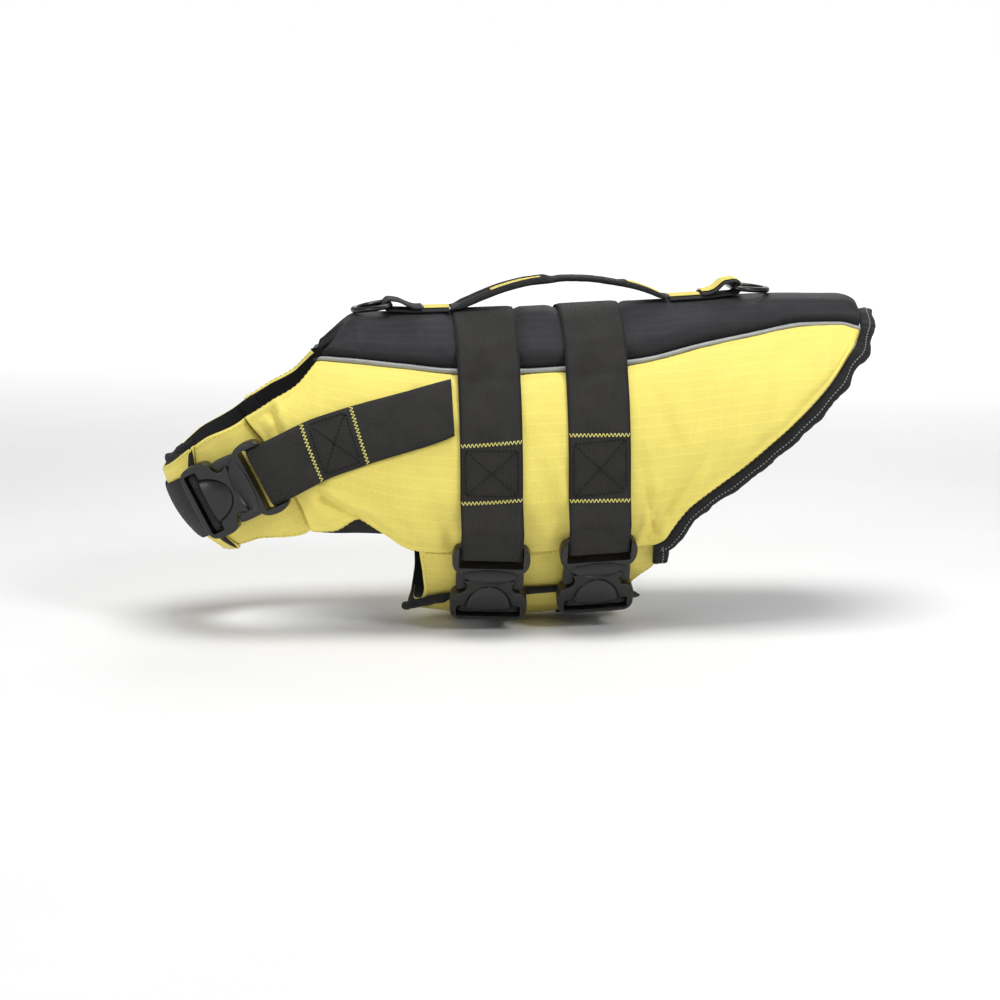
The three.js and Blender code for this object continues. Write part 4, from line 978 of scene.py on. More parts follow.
def soft_waves(grid, seed):
    broad = noise(grid, np.array([46.0, 60.0, 34.0]), seed)
    middle = noise(grid, np.array([21.0, 30.0, 17.0]), seed + 5)
    folds = 1 - np.abs(noise(grid, np.array([24.0, 30.0, 38.0]), seed + 9))
    return (broad + 0.6 * middle + 0.9 * folds**6) * sizes().undulation / MM


def padded_shell(name, station, around, full, relief, materials, seed, growth, swell_cap, far=False):
    middle = lifted(station, around, full / 2)
    seen = mirror_far(middle) if far else middle
    distance = border_distances(middle)
    height = padding(full, distance) - relief(middle)
    beside_belts = 1 - 0.8 * under_belt(middle[..., 0], 8)
    beside_spine = 1 - 0.85 * ease(1 - (np.abs(middle[..., 1]) - 14) / 8)
    calm = beside_belts * beside_spine
    height = height + soft_waves(seen, seed) * ease(distance / 16) * calm
    height = height + seam_gathers(seen, distance, seed) * ease(distance / 2.5)
    height = np.maximum(height, FOAM_EDGE * 0.6)
    rounding = np.clip(distance / 1.5, 0, 1)
    height = mix(2.4, height, np.sqrt(1 - (1 - rounding) ** 2))
    outer = lifted(station, around, height)
    moves = settle(outer, growth, 2.0, swell_cap)
    quiet = np.minimum(1 - 0.9 * under_belt(outer[..., 0], 5), calm)
    outer = outer + moves * (quiet * ease(distance / 6))[..., None]
    inner = lifted(station, around, np.clip(0.4 - 0.4 * distance, 0, 0.4))
    if far:
        outer = mirror_far(outer)
        inner = mirror_far(inner)
    cloth_map = np.stack([outer[..., 0], round_length(around)], -1)
    thing = cloth_shell(name, outer, inner, cloth_map, materials)
    GRIDS[name] = outer
    return thing


def side_panel(side, seed):
    fore = mix(0, HEM_LINE, eased_shares(117))
    aft = mix(HEM_LINE, LAST_LINE, eased_shares(63))[1:]
    line = np.concatenate([fore, aft])[:, None]
    share = eased_shares(75)[None, :]
    station, around = side_spot(line, share)

    def relief(points):
        return crease_depth(points) + BELT_DENT["side"] * under_belt(points[..., 0], 9)

    name = "side_panel_" + side
    thing = padded_shell(
        name + "_cloth", station, around, SIDE_FOAM, relief, ["yellow ripstop", "black lining"],
        seed=seed, growth=0.035, swell_cap=2.2, far=side == "far",
    )
    return seat(thing, "yellow", name)


def back_panel():
    x_stops = mix(-164, 159, eased_shares(168))
    lines = np.linspace(NECK_LINE, LAST_LINE, 2000)
    spine_x = smooth_curve(ROWS, PANELS["spineX"])(lines)
    line = np.interp(x_stops, spine_x, lines)[:, None]
    side = 2 * eased_shares(96)[None, :] - 1
    reach = EDGE_AROUND(line) - (PIPING_RADIUS + SEAM) / girth(EDGE_STATION(line), EDGE_AROUND(line))
    station = mix(SPINE_STATION(line), EDGE_STATION(line), side * side)
    around = side * reach

    def relief(points):
        return BELT_DENT["back"] * under_belt(points[..., 0], 6)

    thing = padded_shell(
        "back_panel_cloth", station, around, BACK_FOAM, relief, ["dark ripstop", "black lining"],
        seed=4.0, growth=0.02, swell_cap=1.6,
    )
    return seat(thing, "dark", "back_panel")


# Thin flaps

CHEST_NECK, CHEST_LOW = curves_of(CHEST_LINES, 0)
TONGUE = curves_of(FLAP_TONGUE, 0)[0]
FLAP_FRONT, FLAP_REAR = curves_of(FLAP_EDGES, 0)
CHEST_RISE = CHEST_THICK + 0.6
CHEST_TOP = CHEST_RISE + CHEST_THICK + SEAM + 0.7 + WEBBING_THICK / 2
SIDE_TOP = SIDE_FOAM + SEAM + 0.3 + WEBBING_THICK / 2
FAR_RISE = FLAP_THICK + 1.5


def chest_spots(end_neck, end_low):
    share = eased_shares(60)[None, :]
    along = np.linspace(0, 1, 110)[:, None]
    station, around = side_spot(np.zeros_like(share), share)
    ahead = side_spot(np.zeros_like(share), share + 0.01)
    run = form(*ahead) - form(station, around)
    away = unit(np.cross(run, outwards(station, around)))
    station, around = walk(station, around, away, np.array(SEAM + 0.4), 0)
    around = mix(around, mix(end_neck, end_low, share), along)
    centre = np.minimum(around, 2 - around)
    target = mix(CHEST_NECK(centre), CHEST_LOW(centre), share)
    return mix(station, target, ease(along / 0.25)), around


def thin_shell(name, station, around, lift, thick, quiet, seed, far, u_axis):
    """A flap of thin padded cloth: its outer face is crumpled, its inner face follows what it lies on."""
    middle = lifted(station, around, lift)
    seen = mirror_far(middle) if far else middle
    distance = border_distances(middle)
    gathers = 0.7 * seam_gathers(seen, distance, seed) * mix(0.35, 1, quiet)
    relief = 0.8 * soft_waves(seen, seed) * quiet + gathers
    edge = np.sqrt(1 - (1 - np.clip(distance / 1.5, 0, 1)) ** 2)
    height = mix(thick * 0.35, thick + relief * ease(distance / 2), edge)
    outer = lifted(station, around, lift + np.maximum(height, 0.5))
    inner = lifted(station, around, lift)
    if far:
        outer = mirror_far(outer)
        inner = mirror_far(inner)
    down = np.stack([lengths(row) for row in outer])
    along = outer[..., 0] if u_axis == "x" else round_length(np.minimum(around, 1.2)) + 0 * down
    if u_axis == "x":
        down = round_length(np.minimum(around, 1.2)) + 0 * down
    thing = cloth_shell(name, outer, inner, np.stack([along, down], -1), ["yellow ripstop", "black lining"])
    GRIDS[name] = outer
    declare_sheet(outer)
    return thing


def chest_flaps():
    near = chest_spots(1.14, 1.1)
    covered = ease((near[1] - 0.66) / 0.08)
    flat = np.zeros_like(near[1])
    thing = thin_shell("chest_flap_near_cloth", *near, flat, CHEST_THICK, 1 - covered, 11.0, False, "round")
    seat(thing, "yellow", "chest_flap_near")
    far = chest_spots(1.28, 1.13)
    lift = CHEST_RISE * np.clip((far[1] - 0.74) / 0.12, 0, 1)
    thing = thin_shell("chest_flap_far_cloth", *far, lift, CHEST_THICK, 0.6 + 0 * lift, 13.0, True, "round")
    seat(thing, "yellow", "chest_flap_far")


def root_around(x):
    return LOW_AROUND_AT(np.clip(x, -122, 23)) + (SEAM + 0.3) / 190


def far_flap_lift(around):
    return FAR_RISE * np.clip((1.2 - around) / 0.07, 0, 1)


def far_flap_spot(across, share):
    tip_x = mix(*FLAP_TIP_X, across)
    root_x = mix(*FLAP_ROOT_X, across)
    around = mix(2 - root_around(root_x), TONGUE(tip_x), share)
    centre = np.minimum(around, 2 - around)
    side_x = mix(FLAP_FRONT(centre), FLAP_REAR(centre), across)
    x = mix(side_x, tip_x, np.clip((1.25 - around) / 0.3, 0, 1))
    return station_at(x, around, 0), around


def belly_flaps():
    across = np.linspace(0, 1, 110)[:, None]
    share = eased_shares(76)[None, :]
    rough = mix(0.66, 1.1, share)
    x = mix(FLAP_FRONT(rough), FLAP_REAR(rough), across)
    around = mix(root_around(mix(*FLAP_ROOT_X, across)), 1.1, share)
    quiet = 1 - ease((around - 0.76) / 0.05)
    station = station_at(x, around, 0)
    flat = np.zeros_like(around)
    thing = thin_shell("belly_flap_near_cloth", station, around, flat, FLAP_THICK, quiet, 15.0, False, "x")
    seat(thing, "yellow", "belly_flap_near")
    station, around = far_flap_spot(across, share)
    lift = far_flap_lift(around)
    quiet = np.full(around.shape, 0.8)
    thing = thin_shell("belly_flap_far_cloth", station, around, lift, FLAP_THICK, quiet, 17.0, False, "x")
    seat(thing, "yellow", "belly_flap_far")


def tape_over_edge(name, base, out, away, widths, bottom, height, taper, nodes, seed):
    """A narrow puckered tape sewn over a flap's free edge. Widths run from and to, beside the edge."""
    turn = turns(14)
    run = lengths(base)
    start, stop = widths
    centre = (start + stop) / 2
    half = (stop - start) / 2
    across = centre + half * squared_off(np.cos(turn), 0.7)
    up = squared_off(np.sin(turn), 0.8)
    ripple = noise(np.stack([run, run * 0, run * 0], -1), 3.0, seed)
    height = np.broadcast_to(np.asarray(height, float), (len(base),))[:, None]
    slim = np.sqrt(np.clip(np.minimum(run, run[-1] - run) / taper, 0.03, 1))[:, None]
    rise = bottom + height / 2 * (1 + slim * up[None, :] * (1 + 0.16 * ripple[:, None] * (up > 0)))
    reach = centre + (across[None, :] - centre) * slim * (1 + 0.06 * ripple[:, None])
    points = base[:, None] + away[:, None] * reach[..., None] + out[:, None] * rise[..., None]
    sides = len(turn)
    faces = tube_faces(len(base), sides, False)
    caps = tube_caps(len(base), sides)
    round_map = np.broadcast_to(turn * half, (len(base), sides))
    cloth_map = np.stack([round_map, np.broadcast_to(run[:, None], (len(base), sides))], -1)
    thing = add_mesh(name, points, faces, ["black tape"], None, cloth_map, caps)
    return seat(thing, "binding", *nodes)


def edge_frame(points, spots):
    """For a free edge: its points, the way out of the cloth and the way along it, turned off the cloth."""
    out = outwards(*spots)
    run = unit(np.gradient(points, axis=0))
    return out, unit(np.cross(run, out))


def flap_edges():
    across = np.linspace(0, 1, 260)
    spots = far_flap_spot(across, 1.0)
    base = lifted(*spots, np.zeros(len(across)))
    out, away = edge_frame(base, spots)
    free = 1 - ease((base[:, 0] + 104) / 6)
    height = 2.4 + 2.6 * free
    nodes = ["belly_flap_edge"]
    tape_over_edge("belly_flap_edge_tape", base, out, -away, (-0.4, 5.6), FAR_RISE, height, 3.0, nodes, 3.0)
    station, around = chest_spots(1.28, 1.13)
    spots = (station[-1], around[-1])
    base = lifted(*spots, np.zeros(len(spots[0])))
    out, away = edge_frame(base, spots)
    inside = lifted(station[-3], around[-3], np.zeros(len(spots[0]))) - base
    away = away * -np.sign(np.mean(np.sum(away * inside, -1)))
    base = base[1:-1]
    tape_over_edge(
        "chest_flap_edge_tape", mirror_far(base), mirror_far(out[1:-1]), mirror_far(away[1:-1]), (-4.2, 1.1),
        CHEST_RISE + 0.1, 3.0, 16.0, [], 5.0
    )


def armhole_linings():
    rows = splined(LINING_LINES, 40)
    share = np.linspace(0, 1, 22)[None, :]
    spots = spot_at(rows[:, :1] + 0 * share, mix(rows[:, 1:2], rows[:, 2:3], share), 0)
    for side in ("near", "far"):
        outer = lifted(*spots, -0.7 + 0.25 * noise(lifted(*spots, np.zeros(spots[0].shape)), 7.0, 8.0))
        inner = lifted(*spots, np.full(spots[0].shape, -2.2))
        if side == "far":
            outer = mirror_far(outer)
            inner = mirror_far(inner)
        name = "armhole_lining_" + side
        thing = cloth_shell(name + "_cloth", outer, inner, outer[..., [0, 2]], ["black lining"])
        seat(thing, "dark", name)
        declare_sheet(outer)


def seam_tapes():
    """The allowances behind each front seam and each piping, so that no light comes through."""
    share = np.linspace(0, 0.99, 90)[:, None]
    line = np.linspace(NECK_LINE + 0.03, LAST_LINE - 0.06, 240)[:, None]
    seam_lines = {
        "seam_tape_": side_spot(np.zeros_like(share), share),
        "piping_tape_": (EDGE_STATION(line), EDGE_AROUND(line)),
    }
    reach = np.linspace(-5.5, 6, 10)[None, :]
    for name, (station, around) in seam_lines.items():
        run = unit(np.gradient(form(station, around)[:, 0], axis=0))[:, None]
        away = unit(np.cross(run, outwards(station, around)))
        spots = walk(station + 0 * reach, around + 0 * reach, away, reach + 0 * station, 0)
        ripple = 0.2 * noise(lifted(*spots, -0.8 + 0 * spots[0]), 5.0, 4.0)
        middle = lifted(*spots, -0.95 + ripple)
        for side in ("near", "far"):
            rows = mirror_far(middle) if side == "far" else middle
            band(name + side, rows, 0.9, "black tape", "dark", [])


# Trim

def swept_tube(name, centre, out, side, radius, material, cloth_map=True, sides=12, closed=False):
    """A tube about a line. Radius is a number or one for each point of the line."""
    turn = turns(sides)
    radius = np.broadcast_to(np.asarray(radius, float), (len(centre),))[:, None, None]
    ring = out[:, None] * np.cos(turn)[None, :, None] + side[:, None] * np.sin(turn)[None, :, None]
    points = centre[:, None] + radius * ring
    caps = [] if closed else tube_caps(len(centre), sides)
    run = lengths(centre)[:, None]
    around = (turn * np.mean(radius))[None, :]
    uv = np.stack(np.broadcast_arrays(around, run), -1) if cloth_map else None
    return add_mesh(name, points, tube_faces(len(centre), sides, closed), [material], None, uv, caps), points


def pipings():
    line = np.linspace(NECK_LINE, LAST_LINE, 420)
    spots = (EDGE_STATION(line), EDGE_AROUND(line))
    out = outwards(*spots)
    side = unit(slopes_at(*spots)[1])
    wobble = 0.12 * noise(form(*spots), 16.0, 2.0)
    centre = lifted(*spots, FOAM_EDGE + wobble)
    for name, turned in (("piping_near", False), ("piping_far", True)):
        flip = mirror_far if turned else np.asarray
        radius = (PIPING_RADIUS + 0.3) * (1 + 0.04 * noise(centre, 5.0, 4.0))
        lines = (flip(centre), flip(out), flip(side))
        thing = swept_tube(name + "_cord", *lines, radius, "reflective piping")[0]
        seat(thing, "piping", name)


def hem_line():
    """The hem's line from its stub under the near flank, over the back, to the far flank, and its frame."""
    stub = spot_at(23.5, -143, PANEL_LIFT)
    line = np.linspace(HEM_LINE, LAST_LINE, 19)
    last = SPINE_STATION(LAST_LINE)
    corner = (EDGE_STATION(LAST_LINE), EDGE_AROUND(LAST_LINE))
    station = np.concatenate([[stub[0]], LOW_STATION(line), [corner[0], mix(corner[0], last, 0.6), last]])
    around = np.concatenate([[stub[1]], LOW_AROUND(line), [corner[1], corner[1] * 0.55, 0]])
    at = np.linspace(0, len(station) - 1, 1500)
    station = smooth_curve(range(len(station)), station)(at)
    around = smooth_curve(range(len(around)), around)(at)
    station = np.concatenate([station, station[-2::-1]])
    around = np.concatenate([around, -around[-2::-1]])
    along = lengths(lifted(station, around, np.zeros(len(station))))
    even = np.linspace(0, along[-1], 1300)
    return np.interp(even, along, station), np.interp(even, along, around), even


def hem_binding():
    station, around, run = hem_line()
    base = lifted(station, around, np.zeros(len(run)))
    out, away = edge_frame(base, (station, around))
    from_end = np.minimum(run, run[-1] - run)
    near_top = np.clip(from_end / 290, 0, 1)
    wave = 2 * np.pi * run / (sizes().scallop / MM)
    scallop = np.sin(wave + 0.9 * noise(base, 60.0, 3.0))
    uneven = 0.25 + 0.75 * ease(0.5 + 0.8 * noise(base, 34.0, 12.0))
    width = 9.4 + mix(0.6, 2.4, near_top**2) * scallop * uneven
    swell = 0.9 * near_top * uneven * (1 + np.sin(wave + 1.2))
    rise = mix(3, 0.3, np.clip((from_end - 22) / 28, 0, 1)) + swell
    turn = turns(22)
    sweep = squared_off(np.cos(turn), 0.75)
    up = squared_off(np.sin(turn), 0.7)
    across = mix(0.1, width[:, None], (1 + sweep[None, :]) / 2)
    flat = np.stack([run[:, None] + 0 * across, 0.28 * across, 0 * across], -1)
    gather = noise(flat, 2.6, 6.0) + 0.8 * noise(flat, 5.2, 9.0)
    middle = np.exp(-((sweep / 0.22) ** 2))[None, :]
    height = 4.0 * (1 - 0.2 * middle)
    top = (up > 0)[None, :]
    lump = np.where(top, 0.42 * gather * (1 - 0.5 * middle), 0.1 * gather) * np.abs(up)[None, :]
    edge_pull = 0.35 * gather * (sweep[None, :] > 0.6)
    level = rise[:, None] + height / 2 * (1 + up[None, :]) + lump
    level = np.maximum(level, 0.05)
    points = base[:, None] + away[:, None] * (across + edge_pull)[..., None] + out[:, None] * level[..., None]
    sides = len(turn)
    caps = tube_caps(len(run), sides)
    uv = np.stack(np.broadcast_arrays((turn * 5)[None, :], run[:, None]), -1)
    faces = tube_faces(len(run), sides, False)
    thing = add_mesh("hem_binding_elastic", points, faces, ["gathered elastic"], None, uv, caps)
    seat(thing, "binding", "hem_binding")
    upper = points[:, : sides // 2 + 1]
    declare_sheet(upper)
    crest = int(np.argmin(np.abs(turn - np.pi / 2)))
    GRIDS["hem line"] = points[:, crest] + out * 0.15
    GRIDS["hem out"] = out


def neck_gathers():
    """The ruched black edge of the lining that stands out of the neck at the front."""
    around = np.linspace(0.76, 1.24, 400)
    centre_around = np.minimum(around, 2 - around)
    middle = 1 - ease(np.abs(around - 1) / 0.24)
    station = CHEST_NECK(centre_around) + mix(0.10, -0.12, middle)
    base = lifted(station, around, mix(-1.0, -0.7, middle))
    out = outwards(station, around)
    run = unit(np.gradient(base, axis=0))
    side = unit(np.cross(run, out))
    along = lengths(base)
    place = np.stack([along, along * 0, along * 0], -1)
    fade = np.sqrt(ease(np.minimum(along, along[-1] - along) / 14) + 0.02)
    turn = turns(18)
    lumps = 3.2 + 1.5 * noise(place, 9.0, 2.0) + 0.7 * noise(place, 4.0, 5.0)
    wrapped = np.stack(np.broadcast_arrays(along[:, None], 3.2 * np.cos(turn), 3.2 * np.sin(turn)), -1)
    radius = lumps[:, None] * fade[:, None] * (1 + 0.22 * noise(wrapped, 2.8, 7.0))
    centre = base + out * np.minimum(0.5 * noise(place, 7.0, 4.0), 0)[:, None]
    ring = out[:, None] * (0.62 * np.cos(turn))[None, :, None] + side[:, None] * np.sin(turn)[None, :, None]
    points = centre[:, None] + radius[..., None] * ring
    sides = len(turn)
    caps = tube_caps(len(along), sides)
    uv = np.stack(np.broadcast_arrays((turn * 3)[None, :], along[:, None]), -1)
    faces = tube_faces(len(along), sides, False)
    thing = add_mesh("neck_gathers", points, faces, ["gathered elastic"], None, uv, caps)
    seat(thing, "binding")


# Buckles, made flat: x across, y from the female end to the male end, z outwards

MALE_LOOP = (
    (36, 2.5), (29, 2.7), (23, 2.7), (17.6, 2.7), (15.3, 2), (14.6, 0), (15.3, -2), (17.6, -2.7), (25, -2.7),
)
FEMALE_LOOP = (
    (-36, -5.7), (-31, -5.8), (-28.3, -5.7), (-27, -4.6), (-26.7, -2.2), (-26.7, 0.2),
    (-26.1, 1.7), (-24.4, 2.2), (-22.5, 1.9), (-21.6, 0.6), (-21.5, -1.8), (-21.9, -3.8),
)
SLOT_HALF = 19.7
BODY_OUTLINE = (
    (0, -0.9), (7, -0.6), (13.6, 0), (15.6, -0.9), (13.8, -4.2), (14, -7.6), (16.2, -9.8), (20.4, -10.8),
    (22.8, -12.8), (23.7, -17), (23.7, -24), (22.8, -28.2), (20.4, -30.6), (16.5, -31.5), (0, -31.5),
)
FRAME_OUTLINE = (
    (0, -3.0), (6, -2.5), (11, -0.9), (15, 1.9), (18.4, 5.4), (21.2, 7.2), (23.2, 10.6), (24, 16), (23.4, 21),
    (21.6, 24.2), (18.8, 25.5), (0, 25.5),
)
TONGUE_OUTLINE = ((0, -4), (9, -4), (16.8, -3.4), (17.4, 0), (17.4, 9), (0, 9))
PRONG_OUTLINE = (
    (16.4, 9), (20.2, 9), (20.8, -1), (20.6, -8), (19, -9.4), (16, -8.6), (14.4, -6.8), (14.2, -4.8),
    (16.2, -1.4),
)
BELL = ((-5.0, 0.8), (-5.8, 4.2), (-7.6, 7.4), (-10.8, 10.4), (-14.8, 12.8), (-20.4, 14.4))
DOME_ENDS = (-20.4, -5.0)


def deselect():
    for thing in bpy.context.view_layer.objects:
        thing.select_set(False)


def cut_corners(points, closed, times=2):
    points = np.array(points, float)
    for _ in range(times):
        after = np.roll(points, -1, axis=0)
        pairs = np.stack([mix(points, after, 0.25), mix(points, after, 0.75)], 1).reshape(-1, 2)
        points = pairs if closed else np.concatenate([points[:1], pairs[:-2], points[-1:]])
    return points


def both_sides(right):
    right = cut_corners(right, False)
    left = right[-2:0:-1] * np.array([-1, 1])
    return np.concatenate([right, left])


def round_edges(thing, width, segments, least_angle):
    """Rounds the edges that are sharper than an angle in degrees."""
    rounding = thing.modifiers.new("Rounding", "BEVEL")
    rounding.width = width * MM
    rounding.segments = segments
    rounding.limit_method = "ANGLE"
    rounding.angle_limit = math.radians(least_angle)
    bpy.ops.object.modifier_apply(modifier="Rounding")


def plate(name, outline, bottom, top, bevel, segments=3):
    """A circle's points are set on an outline, filled and raised, and the edges are rounded."""
    deselect()
    bpy.ops.mesh.primitive_circle_add(vertices=len(outline), radius=0.02, fill_type="NGON")
    thing = bpy.context.object
    thing.name = name
    for vertex, (x, y) in zip(thing.data.vertices, outline):
        vertex.co = (x * MM, y * MM, bottom * MM)
    bpy.ops.object.mode_set(mode="EDIT")
    bpy.ops.mesh.select_all(action="SELECT")
    bpy.ops.mesh.extrude_region_move(TRANSFORM_OT_translate={"value": (0, 0, (top - bottom) * MM)})
    bpy.ops.mesh.select_all(action="SELECT")
    bpy.ops.mesh.normals_make_consistent(inside=False)
    bpy.ops.object.mode_set(mode="OBJECT")
    if bevel:
        round_edges(thing, bevel, segments, 50)
    return thing


def block(name, x, y, z, width, length, height, bevel=0.0):
    deselect()
    size = (width * MM, length * MM, height * MM)
    bpy.ops.mesh.primitive_cube_add(size=1, location=(x * MM, y * MM, z * MM), scale=size)
    thing = bpy.context.object
    thing.name = name
    bpy.ops.object.transform_apply(location=True, rotation=True, scale=True)
    if bevel:
        round_edges(thing, bevel, 3, 30)
    return thing


def combine(thing, other, operation):
    deselect()
    bpy.context.view_layer.objects.active = thing
    thing.select_set(True)
    step = thing.modifiers.new("Combine", "BOOLEAN")
    step.operation = operation
    step.object = other
    step.solver = "EXACT"
    bpy.ops.object.modifier_apply(modifier="Combine")
    bpy.data.objects.remove(other)


def bell_outline(grow, stop):
    y, half = np.array(BELL).T
    right = np.stack([half + grow, y + np.where(y > -6, grow, 0)], -1)
    right = np.concatenate([[[0, y[0] + grow]], right, [[half[-1] + grow, stop], [0, stop]]])
    return both_sides(right)


def thumb_dome():
    """The swollen thumb piece: a grid in the shape of a bell, raised along its middle."""
    deselect()
    bpy.ops.mesh.primitive_grid_add(x_subdivisions=28, y_subdivisions=28, size=2)
    thing = bpy.context.object
    thing.name = "dome"
    y, half = np.array(BELL).T
    width = smooth_curve(-y, half)
    for vertex in thing.data.vertices:
        s, t = vertex.co.x, (vertex.co.y + 1) / 2
        length = mix(*DOME_ENDS, t)
        swell = (1 - abs(s) ** 2.4) ** 0.55 * (1 - 0.93 * t**2.2) ** 0.8
        vertex.co = (s * float(width(-length)) * MM, length * MM, (3.2 + 3.7 * swell) * MM)
    wall = thing.modifiers.new("Wall", "SOLIDIFY")
    wall.thickness = 2.6 * MM
    wall.offset = -1
    wall.use_even_offset = False
    bpy.ops.object.modifier_apply(modifier="Wall")
    return thing


def female_half():
    body = plate("female", both_sides(BODY_OUTLINE), -4.5, 4.4, 1.7, 4)
    combine(body, plate("groove", bell_outline(1.0, -21), 3.1, 9, 0), "DIFFERENCE")
    combine(body, block("slot", 0, -24.15, 0, 2 * SLOT_HALF, 8.5, 30, 1.2), "DIFFERENCE")
    combine(body, thumb_dome(), "UNION")
    combine(body, block("bar", 0, -24.1, -0.4, 2 * SLOT_HALF + 2, 2.4, 2.4, 0.7), "UNION")
    combine(body, block("mouth", 0, -1.2, 0, 22, 5, 2.2, 0.5), "DIFFERENCE")
    return body


def male_half():
    frame_plate = plate("male", both_sides(FRAME_OUTLINE), -3, 5.0, 1.4, 4)
    combine(frame_plate, block("slot", 0, 13.4, 0, 2 * SLOT_HALF, 5.6, 30, 1.0), "DIFFERENCE")
    combine(frame_plate, block("above", 0, 22.6, 11.4, 2 * SLOT_HALF, 13.2, 20, 0.8), "DIFFERENCE")
    combine(frame_plate, block("below", 0, 22.6, -11.4, 2 * SLOT_HALF, 13.2, 20, 0.8), "DIFFERENCE")
    deselect()
    bpy.ops.mesh.primitive_uv_sphere_add(
        segments=48, ring_count=24, radius=MM, location=(0, 4.1 * MM, 6.3 * MM), scale=(19.4, 6.3, 3.8)
    )
    hollow = bpy.context.object
    bpy.ops.object.transform_apply(location=True, rotation=True, scale=True)
    combine(frame_plate, hollow, "DIFFERENCE")
    combine(frame_plate, plate("tongue", both_sides(TONGUE_OUTLINE), -2.6, 2.2, 0.5), "UNION")
    for side in (1, -1):
        outline = cut_corners(np.array(PRONG_OUTLINE) * np.array([side, 1]), True)
        combine(frame_plate, plate("prong", outline if side > 0 else outline[::-1], -2.4, 2.4, 0.7), "UNION")
    return frame_plate


def frame_at(station, around, lift, forwards):
    out = outwards(station, around)
    y = unit(forwards - out * np.dot(forwards, out))
    x = unit(np.cross(y, out))
    place = Matrix.Identity(4)
    for row in range(3):
        place[row][0], place[row][1], place[row][2] = x[row], y[row], out[row]
        place[row][3] = lifted(station, around, lift)[row]
    return place


def in_frame(place, points):
    turned = np.array([row[:3] for row in place[:3]])
    return points @ turned.T + np.array([row[3] for row in place[:3]])


def belt_buckle_place(x):
    around = np.array(BUCKLE_AROUND)
    station = station_at(x, around, BUCKLE_LIFT)
    return frame_at(station, around, BUCKLE_LIFT, -slopes_at(station, around)[1])


def chest_buckle_place():
    back = strap_spot(np.array(CHEST_BUCKLE_ROW - 0.6))
    front = strap_spot(np.array(CHEST_BUCKLE_ROW + 0.6))
    forwards = lifted(*back, 12.0) - lifted(*front, 12.0)
    return frame_at(*strap_spot(np.array(CHEST_BUCKLE_ROW)), CHEST_BUCKLE_LIFT, forwards)


def buckles():
    places = {name: belt_buckle_place(x) for name, x in BELT_X.items()}
    places["chest"] = chest_buckle_place()
    halves = {"female": female_half(), "male": male_half()}
    for half, model in halves.items():
        model.data.materials.clear()
        model.data.materials.append(finish("moulded plastic"))
        for name, place in places.items():
            copy = model.copy()
            copy.data = model.data.copy()
            copy.name = "buckle_" + name + "_" + half + "_moulded"
            bpy.context.scene.collection.objects.link(copy)
            in_metres = place.copy()
            in_metres.translation = place.translation * MM
            copy.data.transform(in_metres)
            deselect()
            copy.select_set(True)
            bpy.context.view_layer.objects.active = copy
            bpy.ops.object.shade_smooth_by_angle(angle=math.radians(38))
            seat(copy, "plastic", "buckle_" + name + "_" + half)
        bpy.data.objects.remove(model)


# Belts and chest strap

ACROSS = np.linspace(-1, 1, 15)


def belt_lift(x, around):
    side = abs(around)
    seam_at = EDGE_AROUND_AT(x)
    to_seam = abs(side - seam_at) * GIRTH
    to_low = (LOW_AROUND_AT(np.clip(x, -122, 23)) - side) * GIRTH
    back = padding(BACK_FOAM, to_seam) - BELT_DENT["back"]
    flank = np.minimum(padding(SIDE_FOAM, to_seam), padding(SIDE_FOAM, to_low)) - BELT_DENT["side"]
    below = np.where(around < 0, far_flap_lift(2 + around) + FLAP_THICK, FOAM_EDGE)
    return np.where(side < seam_at, back, np.where(to_low > 0, flank, below))


def tight_lift(x, around):
    around = np.asarray(around, float)
    heights = np.stack([belt_lift(x, around + off) for off in np.linspace(-0.045, 0.045, 9)])
    return np.maximum(belt_lift(x, around), mix(heights.mean(0), heights.max(0), 0.6))


def loop_rows(loop, place, count):
    line = splined(loop, count)
    rows = np.stack(np.broadcast_arrays(ACROSS[None, :] * WEBBING / 2, line[:, :1], line[:, 1:2]), -1)
    return in_frame(place, rows)


def even_rows(rows):
    """The same band with its rows at even distances."""
    along = lengths(rows[:, rows.shape[1] // 2])
    places = np.linspace(0, along[-1], int(along[-1] / ROW_STEP) + 1)
    flat = rows.reshape(len(rows), -1)
    even = np.stack([np.interp(places, along, column) for column in flat.T], -1)
    return even.reshape(-1, *rows.shape[1:])


def eased_joint(rows, at, reach):
    """Rows smoothed about a place along a band, so that two stretches join without a step."""
    near = np.exp(-(((lengths(rows[:, rows.shape[1] // 2]) - at) / reach) ** 2))[:, None, None]
    for _ in range(60):
        between = (np.roll(rows, 2, axis=0) + np.roll(rows, -2, axis=0)) / 2
        rows = mix(rows, between, 0.9 * near)
    return rows


def webbing_band(node, rows):
    """A belt or strap in a node's place."""
    band(node + "_webbing", rows, WEBBING_THICK, "strap webbing", "webbing", [node])
    GRIDS[node] = rows


def belts():
    for name, x in BELT_X.items():
        place = belt_buckle_place(x)
        around = np.linspace(0.53, -1.12, 420)[:, None]
        lift = tight_lift(x, around) + SEAM + 0.5 + WEBBING_THICK / 2
        at = x + ACROSS[None, :] * WEBBING / 2
        body = lifted(station_at(at, around, lift), around, lift + 0 * at)
        male_end = loop_rows(MALE_LOOP, place, 60)[::-1]
        female_end = loop_rows(FEMALE_LOOP, place, 70)
        webbing_band("belt_" + name, even_rows(np.concatenate([male_end, body, female_end])))


STRAP_STATION, STRAP_AROUND = curves_of(CHEST_STRAP_LINE)


def strap_spot(at):
    mirror = at > STRAP_LAST
    row = np.where(mirror, 2 * STRAP_LAST - at, at)
    around = STRAP_AROUND(row)
    return STRAP_STATION(row), np.where(mirror, 2 - around, around)


